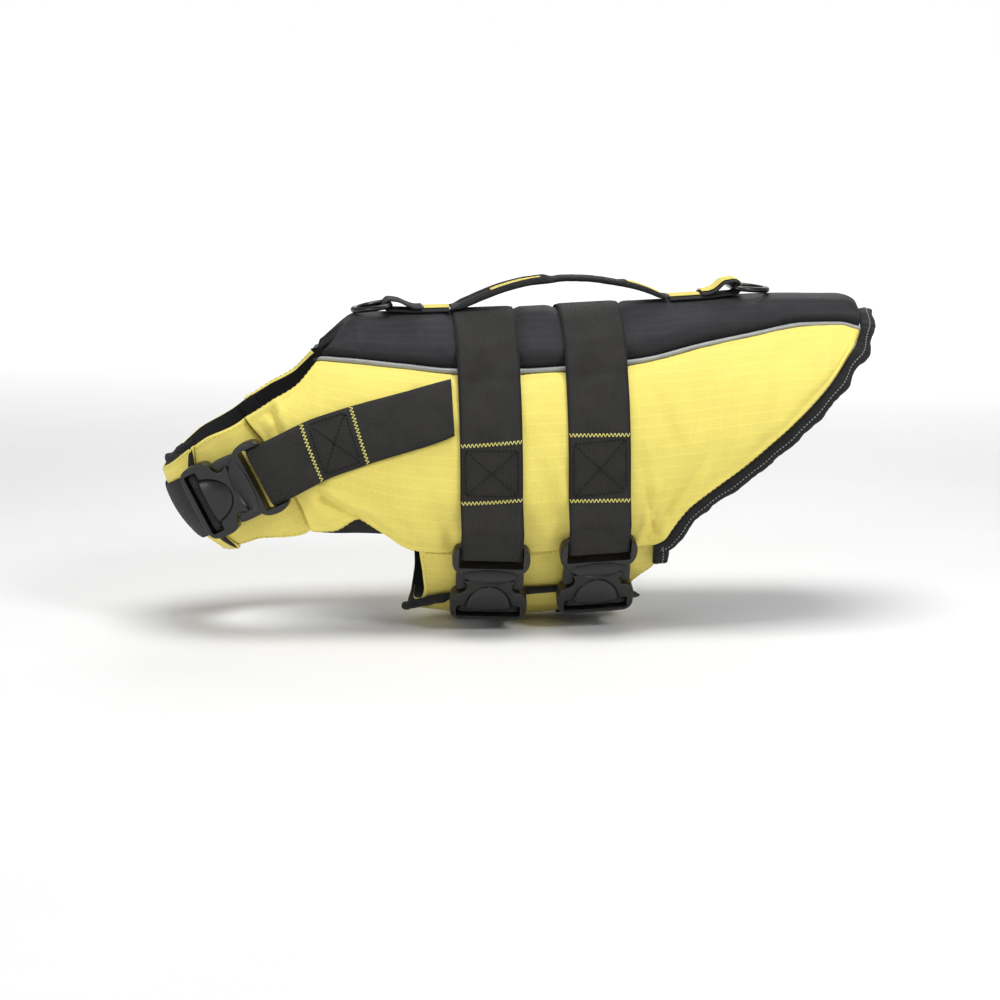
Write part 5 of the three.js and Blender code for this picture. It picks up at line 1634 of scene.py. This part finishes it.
def strap_rows(at, lift):
    at = at[:, None]
    lift = lift[:, None]
    station, around = strap_spot(at)
    run = unit(form(*strap_spot(at + 0.02)) - form(*strap_spot(at - 0.02)))
    across = unit(np.cross(outwards(station, around), run))
    upright = np.clip(1 - np.minimum(at, 2 * STRAP_LAST - at) / 0.5, 0, 1)[..., None]
    down = unit(slopes_at(station, around)[1]) * np.where(at > STRAP_LAST, -1, 1)[..., None]
    across = unit(mix(across, down, 0.8 * upright))
    there = walk(station, around, across, ACROSS[None, :] * WEBBING / 2 + 0 * lift, lift)
    return lifted(*there, lift + 0 * there[0])


def chest_straps():
    place = chest_buckle_place()
    at = np.linspace(0, 3.5, 110)
    near = strap_rows(at, np.full(len(at), SIDE_TOP))
    joint = lengths(near[:, len(ACROSS) // 2])[-1]
    near = even_rows(np.concatenate([near, loop_rows(MALE_LOOP, place, 60)]))
    webbing_band("chest_strap_near", eased_joint(near, joint, 10.0))
    at = np.linspace(0, 12.2, 300)
    lift = smooth_curve([0, 3, 5, 6.6, 13], [SIDE_TOP, SIDE_TOP, SIDE_TOP - 2, CHEST_TOP, CHEST_TOP])(at)
    far = strap_rows(2 * STRAP_LAST - at, lift)
    far = np.concatenate([far, loop_rows(FEMALE_LOOP, place, 70)])
    webbing_band("chest_strap_far", even_rows(far))


# The strip along the spine, its ribbon, the handle and the rings

def spine_z(x):
    x = np.asarray(x, float)
    return lifted(station_at(x, 0 * x, BACK_FOAM), 0 * x, BACK_FOAM + 0 * x)[..., 2]


def laid_tape(node, line, width, thick, material, slot):
    """A tape across the spine from rows of x, z and bow. A bow of 1 follows the back's curve."""
    x, z, bow = (line[:, k : k + 1] for k in range(3))
    y = -ACROSS[None, :] * np.broadcast_to(width, len(line))[:, None] / 2
    rows = np.stack([x + 0 * y, y, z - bow * y * y / SPINE_BOW], -1)
    band(node + "_tape", rows, thick, material, slot, [node])


def laid_ribbon(node, line, width=RIBBON_WIDTH):
    laid_tape(node, line, width, RIBBON_THICK, "yellow ribbon", "yellow")


def ring_bar(end):
    return end["bar"], float(spine_z(end["bar"])) + SEAM + STRIP_THICK + end["play"] + RING_RADIUS


def strip_line(end):
    """Along the back, round the ring's bar, and back on itself, as rows of x, z and bow."""
    towards = end["towards"]
    bar_x, bar_z = ring_bar(end)
    bottom = SEAM + STRIP_THICK / 2
    eye = RING_RADIUS + end["play"] + STRIP_THICK / 2
    top = bottom + STRIP_THICK + SEAM
    rows = []
    for i, bow in enumerate((1, 1, 0.9, 0.15)):
        x = mix(end["start"], bar_x - towards * 3, i / 3)
        rows.append((x, float(spine_z(x)) + bottom, bow))
    for i in range(13):
        angle = -math.pi / 2 + math.pi * i / 12
        rows.append((bar_x + towards * eye * math.cos(angle), bar_z + eye * math.sin(angle), 0.15))
    rows.append((bar_x - towards * 5, bar_z + eye * 0.8, 0.15))
    for off, rise, bow in ((11, 1.4, 0.5), (16, 0, 0.92), (20, 0, 1)):
        x = bar_x - towards * off
        rows.append((x, float(spine_z(x)) + top + rise, bow))
    return splined(rows, 150)


def outside(line, distance):
    """The same line, further out by a distance."""
    run = unit(np.gradient(line[:, :2], axis=0))
    side = np.sign(line[0, 0] - line[-1, 0])
    moved = line.copy()
    moved[:, 0] += side * run[:, 1] * distance
    moved[:, 1] -= side * run[:, 0] * distance
    return moved


RIBBON_LIFT = STRIP_THICK / 2 + 0.4 + RIBBON_THICK / 2
# Where the ribbon starts on the rear loop, as a share of the strip's line.
LOOP_SHARE = 8.6 / 20


def spine_strips():
    for name, end in STRIP_ENDS.items():
        line = strip_line(end)
        laid_tape("strip_" + name, line, STRIP_WIDTH, STRIP_THICK, "black tape", "binding")
        if end["ribbon_on_loop"]:
            laid_ribbon("ribbon_" + name + "_loop", outside(line[int(len(line) * LOOP_SHARE) :], RIBBON_LIFT))
        x = np.linspace(end["start"], end["bar"] - end["towards"] * 21, 40)
        flat = np.stack([x, spine_z(x) + SEAM + STRIP_THICK / 2 + RIBBON_LIFT, 1 + 0 * x], -1)
        laid_ribbon("ribbon_" + name + "_flat", flat)


HANDLE = curves_of(HANDLE_LINE)


def handle_bow(row):
    return np.clip(1 - np.minimum(row, HANDLE_LAST - row) / 2.5, 0, 1)


def handle_run(row):
    step = 0.05
    return unit(np.stack([curve(row + step) - curve(row - step) for curve in HANDLE[:2]], -1))


def handle():
    row = np.linspace(0, HANDLE_LAST, 190)
    x, z, width, thick = (curve(row) for curve in HANDLE)
    run = handle_run(row)
    grip = ease((row - 4.4) / 1.4) * ease((10.2 - row) / 1.4)
    turn = turns(28)
    square = mix(0.42, 0.8, grip)[:, None]
    sweep = squared_off(np.cos(turn), square)
    up = squared_off(np.sin(turn), mix(0.6, 0.9, grip)[:, None])
    place = np.stack(np.broadcast_arrays(x[:, None], width[:, None] * sweep / 2, 3 * up), -1)
    crumple = 1 + grip[:, None] * (0.07 * noise(place, 6.0, 3.0) + 0.05 * noise(place, 2.6, 4.0))
    fold = 0.35 * grip[:, None] * np.exp(-(((sweep - 0.35) / 0.1) ** 2)) * (up > 0)
    y = sweep * width[:, None] / 2 * crumple
    beside = np.exp(-(((np.abs(y) - width[:, None] / 2 + 1.6) / 1.3) ** 2)) * (up > 0.2)
    flat = np.maximum(ease((6.4 - row) / 0.6), ease((row - 9) / 0.6))
    slope = (ease(row / 1.5) * ease((HANDLE_LAST - row) / 1.5) * flat)[:, None]
    rim = np.where(row < HANDLE_LAST / 2, 2.2, 1.3)[:, None]
    fold = fold - rim * beside * slope
    rise = up * thick[:, None] / 2 * crumple - fold
    bow = handle_bow(row)[:, None]
    height = z[:, None] + run[:, :1] * rise - bow * y * y / SPINE_BOW
    points = np.stack([x[:, None] - run[:, 1:] * rise, y, height], -1)
    sides = len(turn)
    caps = tube_caps(len(row), sides)
    along = lengths(np.stack([x, z], -1))
    uv = np.stack(np.broadcast_arrays(sweep * width[:, None] / 2, along[:, None]), -1)
    faces = tube_faces(len(row), sides, False)
    thing = add_mesh("handle_tape", points, faces, ["black tape"], None, uv, caps)
    seat(thing, "binding", "handle")
    for name, start, stop in (("front", 3.4, 5.7), ("rear", 9.6, 12)):
        part = np.linspace(start, stop, 60)
        normal = handle_run(part)
        lift = HANDLE[3](part) / 2 + 0.4 + RIBBON_THICK / 2
        ribbon_x = HANDLE[0](part) - normal[:, 1] * lift
        ribbon_z = HANDLE[1](part) + normal[:, 0] * lift
        line = np.stack([ribbon_x, ribbon_z, handle_bow(part)], -1)
        width = np.minimum(RIBBON_WIDTH - 2, HANDLE[2](part) - 6.5)
        laid_ribbon("ribbon_handle_" + name, line, width)


def rings():
    for name, end in STRIP_ENDS.items():
        towards = end["towards"]
        bar_x, bar_z = ring_bar(end)
        half = RING_WIDTH / 2 - RING_RADIUS
        depth = RING_DEPTH - 2 * RING_RADIUS
        bend = 4.0
        corner = np.linspace(0, math.pi / 2, 8)
        bow = np.linspace(-math.pi / 2, math.pi / 2, 60)
        line = np.concatenate([
            np.stack([bend - bend * np.cos(corner), -half + bend - bend * np.sin(corner)], -1),
            np.stack([bend + 2 + (depth - bend - 2) * np.cos(bow), half * np.sin(bow)], -1),
            np.stack([bend - bend * np.sin(corner), half - bend + bend * np.cos(corner)], -1),
        ])
        tilt = math.atan2(end["drop"], depth)
        ring_x = bar_x + towards * line[:, 0] * math.cos(tilt)
        ring_z = bar_z - line[:, 0] * math.sin(tilt)
        centre = np.stack([ring_x, line[:, 1], ring_z], -1)
        out = np.broadcast_to([towards * math.sin(tilt), 0, math.cos(tilt)], centre.shape)
        run = unit(np.roll(centre, -1, 0) - np.roll(centre, 1, 0))
        side = unit(np.cross(run, out))
        wire_name = "ring_" + name + "_wire"
        thing = swept_tube(wire_name, centre, out, side, RING_RADIUS, "coated metal", False, 16, True)[0]
        seat(thing, "metal", "ring_" + name, body=name + "_ring")


# Stitching

RING_SHARES = np.array([0, 0.16, 0.5, 0.84, 1])
RING_SIZES = np.array([0.35, 0.95, 1, 0.95, 0.35])
RING_RISES = np.array([-1.1, 0.1, 0.5, 0.1, -1.1])
STITCH_SIDES = 5


def outer_face(grid, thick=0.0):
    """A grid's points and outward normals, half a thickness above it."""
    normals = grid_normals(grid)
    spine = np.stack([grid[..., 0], 0 * grid[..., 0], 0 * grid[..., 0] - 80], -1)
    if np.mean(np.sum(normals * (grid - spine), -1)) < 0:
        normals = -normals
    return grid + normals * thick / 2, normals


def add_stitches(name, starts, ends, normals, material, slot, radius=None):
    """Short arched threads from starts to ends, each lying on the cloth."""
    radius = radius or sizes().thread / MM
    starts, ends, normals = map(np.asarray, (starts, ends, normals))
    run = unit(ends - starts)
    side = unit(np.cross(normals, run))
    centre = mix(starts[:, None], ends[:, None], RING_SHARES[None, :, None])
    centre = centre + normals[:, None] * (RING_RISES * radius + 0.3 * radius)[None, :, None]
    turn = turns(STITCH_SIDES)
    ring = normals[:, None] * np.cos(turn)[None, :, None] + side[:, None] * np.sin(turn)[None, :, None]
    points = centre[:, :, None] + (RING_SIZES * radius)[None, :, None, None] * ring[:, None]
    each = len(RING_SHARES) * STITCH_SIDES
    faces = tube_faces(len(RING_SHARES), STITCH_SIDES, False)
    faces = (faces[None] + each * np.arange(len(starts))[:, None, None]).reshape(-1, 4)
    caps = []
    for i in range(len(starts)):
        caps.append([i * each + k for k in reversed(range(STITCH_SIDES))])
        caps.append([(i + 1) * each - STITCH_SIDES + k for k in range(STITCH_SIDES)])
    thing = add_mesh(name, points, faces, [material], None, None, caps)
    return seat(thing, slot)


def stitched(line, normals, length=None, gap=0.9):
    """Starts, ends and normals of the stitches along a line."""
    length = length or sizes().stitch / MM
    along = lengths(line)
    first = np.arange(gap, along[-1] - length - gap, length + gap)

    def at(places, values):
        return np.stack([np.interp(places, along, values[:, k]) for k in range(3)], -1)

    return at(first, line), at(first + length, line), unit(at(first + length / 2, normals))


def inset_line(name, distance, border, trim=(0.0, 1.0)):
    """The line at a distance inside one border of a piece's outer grid, and its normals."""
    points, normals = outer_face(GRIDS[name])
    views = {
        "top": lambda g: g,
        "low": lambda g: g[:, ::-1],
        "first": lambda g: g.transpose(1, 0, 2),
        "last": lambda g: g.transpose(1, 0, 2)[:, ::-1],
    }
    points = views[border](points)
    normals = views[border](normals)
    count = len(points)
    rows = range(int(trim[0] * (count - 1)), int(trim[1] * (count - 1)) + 1)
    line = []
    ways = []
    for i in rows:
        along = lengths(points[i])
        line.append([np.interp(distance, along, points[i, :, k]) for k in range(3)])
        ways.append([np.interp(distance, along, normals[i, :, k]) for k in range(3)])
    line = np.array(line)
    inside = (lengths(line) > distance) & (lengths(line) < lengths(line)[-1] - distance)
    return line[inside], unit(np.array(ways)[inside])


PANEL_SEAMS = (
    ("side_panel_near_cloth", "pale thread", (("top", 2.4), ("low", 3.2), ("first", 3.0))),
    ("side_panel_far_cloth", "pale thread", (("top", 2.4), ("low", 3.2), ("first", 3.0))),
    ("back_panel_cloth", "black thread", (("top", 2.6), ("low", 2.6), ("first", 3.4), ("last", 3.0))),
    ("chest_flap_near_cloth", "pale thread", (("top", 3.0), ("low", 3.0), ("first", 2.4))),
    ("chest_flap_far_cloth", "pale thread", (("top", 3.0), ("low", 3.0), ("first", 2.4))),
    ("belly_flap_near_cloth", "pale thread", (("top", 2.6), ("first", 3.0), ("last", 3.0))),
    ("belly_flap_far_cloth", "pale thread", (("top", 2.6), ("first", 3.0), ("last", 3.0))),
)


def joined_runs(runs):
    return [np.concatenate(part) for part in zip(*runs)]


def seam_stitches():
    for name, material, borders in PANEL_SEAMS:
        runs = [stitched(*inset_line(name, distance, border)) for border, distance in borders]
        slot = "dark" if material == "black thread" else "yellow"
        add_stitches(name.replace("_cloth", "_stitches"), *joined_runs(runs), material, slot)
    line = GRIDS["hem line"]
    out = GRIDS["hem out"]
    add_stitches("hem_dashes", *stitched(line, out, 1.3, 0.95), "grey thread", "piping", 0.42)


def on_band(name, across, along):
    """Points and normals on the outer face of a belt: across from -1 to 1, along in millimetres."""
    rows = GRIDS[name]
    points, normals = outer_face(rows, WEBBING_THICK + 0.1)
    run = lengths(rows[:, rows.shape[1] // 2])
    i = np.interp(along, run, np.arange(len(run)))
    j = np.interp(across, ACROSS, np.arange(len(ACROSS)))
    i0 = np.clip(i.astype(int), 0, len(run) - 2)
    j0 = np.clip(j.astype(int), 0, len(ACROSS) - 2)
    fi = (i - i0)[:, None]
    fj = (j - j0)[:, None]

    def read(values):
        upper = mix(values[i0, j0], values[i0, j0 + 1], fj)
        lower = mix(values[i0 + 1, j0], values[i0 + 1, j0 + 1], fj)
        return mix(upper, lower, fi)

    return read(points), unit(read(normals))


def zigzag(name, along, tilt, width=0.97, pitch=1.12, swing=1.25):
    count = int(WEBBING * width / pitch)
    across = np.linspace(-width, width, count + 1)
    places = along + tilt * across + swing * np.where(np.arange(count + 1) % 2 == 0, 1, -1)
    points, normals = on_band(name, across, places)
    return points[:-1], points[1:], unit(normals[:-1] + normals[1:])


def straight(name, from_spot, to_spot):
    share = np.linspace(0, 1, 60)
    across, along = (mix(start, stop, share) for start, stop in zip(from_spot, to_spot))
    points, normals = on_band(name, across, along)
    return stitched(points, normals, 1.7, 0.7)


def along_at(name, column, value):
    """How far along a belt its middle line first passes a value of x or z."""
    middle = GRIDS[name][:, len(ACROSS) // 2]
    run = lengths(middle)
    close = np.where(middle[:, 1] < 0, np.abs(middle[:, column] - value), 1e9)
    return run[int(np.argmin(close))]


# Each strap's sewn box: the strap, which coordinate places it, where its yellow lines lie, and their tilt.
SEWN_BOXES = (
    ("belt_front", 2, -65.0, -100.0, 1.4),
    ("belt_rear", 2, -60.0, -99.0, -1.6),
    ("chest_strap_near", 0, -157.0, -187.0, 0.0),
)


def strap_stitches():
    for name, column, high, low, tilt in SEWN_BOXES:
        first = along_at(name, column, high)
        last = along_at(name, column, low)
        zigzags = joined_runs([zigzag(name, first, tilt), zigzag(name, last, tilt)])
        add_stitches(name + "_zigzags", *zigzags, "yellow thread", "yellow", 0.3)
        inset = 4.0 * np.sign(last - first)
        corners = [(-0.84, first + inset), (0.84, first + inset), (0.84, last - inset), (-0.84, last - inset)]
        pairs = [(0, 1), (1, 2), (2, 3), (3, 0), (0, 2), (1, 3)]
        runs = [straight(name, corners[a], corners[b]) for a, b in pairs]
        # The box stitches' dark colour is the thread's own black plus painted shade for their dents.
        add_stitches(name + "_box_stitches", *joined_runs(runs), "black thread", "webbing", 0.36)


# The studio

def studio_floor():
    """A white floor that glows more with distance, so that it fades into the white behind."""
    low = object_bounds()[0]
    deselect()
    bpy.ops.mesh.primitive_plane_add(size=60, location=(0, 0, low.z - 0.0005))
    floor = bpy.context.object
    floor.name = "floor"
    material, tree, shader = finish_start("studio floor")
    place = wire(tree, "ShaderNodeTexCoord").outputs["Object"]
    speck = noise_of(tree, place, 6.0, 3.0)["Fac"]
    tree.links.new(spread(tree, speck, (0.86, 0.86, 0.86), 0.985, 1.01), shader.inputs["Base Color"])
    shader.inputs["Roughness"].default_value = 0.9
    away = wire(tree, "ShaderNodeVectorMath", {0: place}, operation="LENGTH").outputs["Value"]
    words = {"Value": away, "From Min": 0.6, "From Max": 2.4}
    paler = wire(tree, "ShaderNodeMapRange", words, interpolation_type="SMOOTHSTEP")
    glow = wire(tree, "ShaderNodeCombineColor", {key: paler.outputs[0] for key in ("Red", "Green", "Blue")})
    tree.links.new(glow.outputs[0], shader.inputs["Emission Color"])
    shader.inputs["Emission Strength"].default_value = 0.8
    floor.data.materials.append(material)
    floor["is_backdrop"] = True


def studio_lights():
    """A soft white world, seen as pure white behind the jacket, and four soft lamps."""
    world = bpy.data.worlds.new("studio")
    world.use_nodes = True
    tree = world.node_tree
    camera_ray = wire(tree, "ShaderNodeLightPath").outputs["Is Camera Ray"]
    words = {"Value": camera_ray, "To Min": WORLD_STRENGTH, "To Max": 1.0}
    background = tree.nodes["Background"]
    background.inputs["Color"].default_value = (1, 1, 1, 1)
    tree.links.new(wire(tree, "ShaderNodeMapRange", words).outputs[0], background.inputs["Strength"])
    bpy.context.scene.world = world
    for name, spot, size, watts in LIGHTS:
        bpy.ops.object.light_add(type="AREA", location=spot)
        light = bpy.context.object
        light.name = name
        light.data.energy = watts
        light.data.size = size
        light.rotation_euler = (Vector(LIGHT_TARGET) - Vector(spot)).to_track_quat("-Z", "Y").to_euler()


def studio_camera():
    """The camera at the photograph's angle."""
    scene = bpy.context.scene
    scene.view_settings.view_transform = "Standard"
    azimuth = math.radians(CAMERA_AZIMUTH)
    elevation = math.radians(CAMERA_ELEVATION)
    level = math.cos(elevation)
    way = Vector((math.sin(azimuth) * level, -math.cos(azimuth) * level, math.sin(elevation)))
    camera = bpy.data.cameras.new("photo")
    camera.lens = CAMERA_LENS
    camera.sensor_width = 36
    thing = bpy.data.objects.new("photo", camera)
    scene.collection.objects.link(thing)
    thing.location = Vector(CAMERA_TARGET) + way * CAMERA_DISTANCE
    thing.rotation_euler = (-way).to_track_quat("-Z", "Y").to_euler()
    scene.camera = thing


# Operators, one for each group of pieces

class JACKET_OT_panels(bpy.types.Operator):
    """Makes the padded back panel and both side panels"""

    bl_idname = "jacket.panels"
    bl_label = "Padded panels"

    def execute(self, context):
        back_panel()
        side_panel("near", 1.0)
        side_panel("far", 2.0)
        return {"FINISHED"}


class JACKET_OT_flaps(bpy.types.Operator):
    """Makes the chest and belly flaps, the linings and the seam tapes"""

    bl_idname = "jacket.flaps"
    bl_label = "Flaps"

    def execute(self, context):
        chest_flaps()
        belly_flaps()
        armhole_linings()
        seam_tapes()
        return {"FINISHED"}


class JACKET_OT_trim(bpy.types.Operator):
    """Makes the piping, the gathered hem, the neck's edge and the tapes"""

    bl_idname = "jacket.trim"
    bl_label = "Trim"

    def execute(self, context):
        pipings()
        hem_binding()
        neck_gathers()
        flap_edges()
        return {"FINISHED"}


class JACKET_OT_straps(bpy.types.Operator):
    """Makes both belts and the chest strap"""

    bl_idname = "jacket.straps"
    bl_label = "Straps"

    def execute(self, context):
        belts()
        chest_straps()
        return {"FINISHED"}


class JACKET_OT_buckles(bpy.types.Operator):
    """Makes the three side release buckles"""

    bl_idname = "jacket.buckles"
    bl_label = "Buckles"

    def execute(self, context):
        buckles()
        return {"FINISHED"}


class JACKET_OT_spine(bpy.types.Operator):
    """Makes the strip, its ribbons and the handle"""

    bl_idname = "jacket.spine"
    bl_label = "Spine strip"

    def execute(self, context):
        spine_strips()
        handle()
        return {"FINISHED"}


class JACKET_OT_rings(bpy.types.Operator):
    """Makes the two D rings"""

    bl_idname = "jacket.rings"
    bl_label = "D rings"

    def execute(self, context):
        rings()
        return {"FINISHED"}


class JACKET_OT_stitches(bpy.types.Operator):
    """Sews the seams and the straps' boxes"""

    bl_idname = "jacket.stitches"
    bl_label = "Stitching"

    def execute(self, context):
        seam_stitches()
        strap_stitches()
        return {"FINISHED"}


class JACKET_OT_studio(bpy.types.Operator):
    """Adds the floor, the lights and the camera"""

    bl_idname = "jacket.studio"
    bl_label = "Studio"

    def execute(self, context):
        studio_floor()
        studio_lights()
        studio_camera()
        return {"FINISHED"}


OPERATORS = (
    JACKET_OT_panels,
    JACKET_OT_flaps,
    JACKET_OT_trim,
    JACKET_OT_straps,
    JACKET_OT_buckles,
    JACKET_OT_spine,
    JACKET_OT_rings,
    JACKET_OT_stitches,
    JACKET_OT_studio,
)


class JACKET_PT_builder(bpy.types.Panel):
    """Lists the jacket's sizes, colours and steps"""

    bl_label = "Jacket"
    bl_idname = "JACKET_PT_builder"
    bl_space_type = "VIEW_3D"
    bl_region_type = "UI"
    bl_category = "Jacket"

    def draw(self, context):
        for group in (context.scene.jacket_sizes, context.scene.jacket_colours):
            box = self.layout.box()
            for name in group.__annotations__:
                box.prop(group, name)
        for operator in OPERATORS:
            self.layout.operator(operator.bl_idname)


CLASSES = (JacketSizes, JacketColours, *OPERATORS, JACKET_PT_builder)


def register():
    for kind in CLASSES:
        bpy.utils.register_class(kind)
    bpy.types.Scene.jacket_sizes = bpy.props.PointerProperty(type=JacketSizes)
    bpy.types.Scene.jacket_colours = bpy.props.PointerProperty(type=JacketColours)


def unregister():
    del bpy.types.Scene.jacket_colours
    del bpy.types.Scene.jacket_sizes
    for kind in reversed(CLASSES):
        bpy.utils.unregister_class(kind)


def main():
    register()
    bpy.ops.jacket.panels()
    bpy.ops.jacket.flaps()
    bpy.ops.jacket.trim()
    bpy.ops.jacket.straps()
    bpy.ops.jacket.buckles()
    bpy.ops.jacket.spine()
    bpy.ops.jacket.rings()
    bpy.ops.jacket.stitches()
    bpy.ops.jacket.studio()


if __name__ == "__main__":
    main()
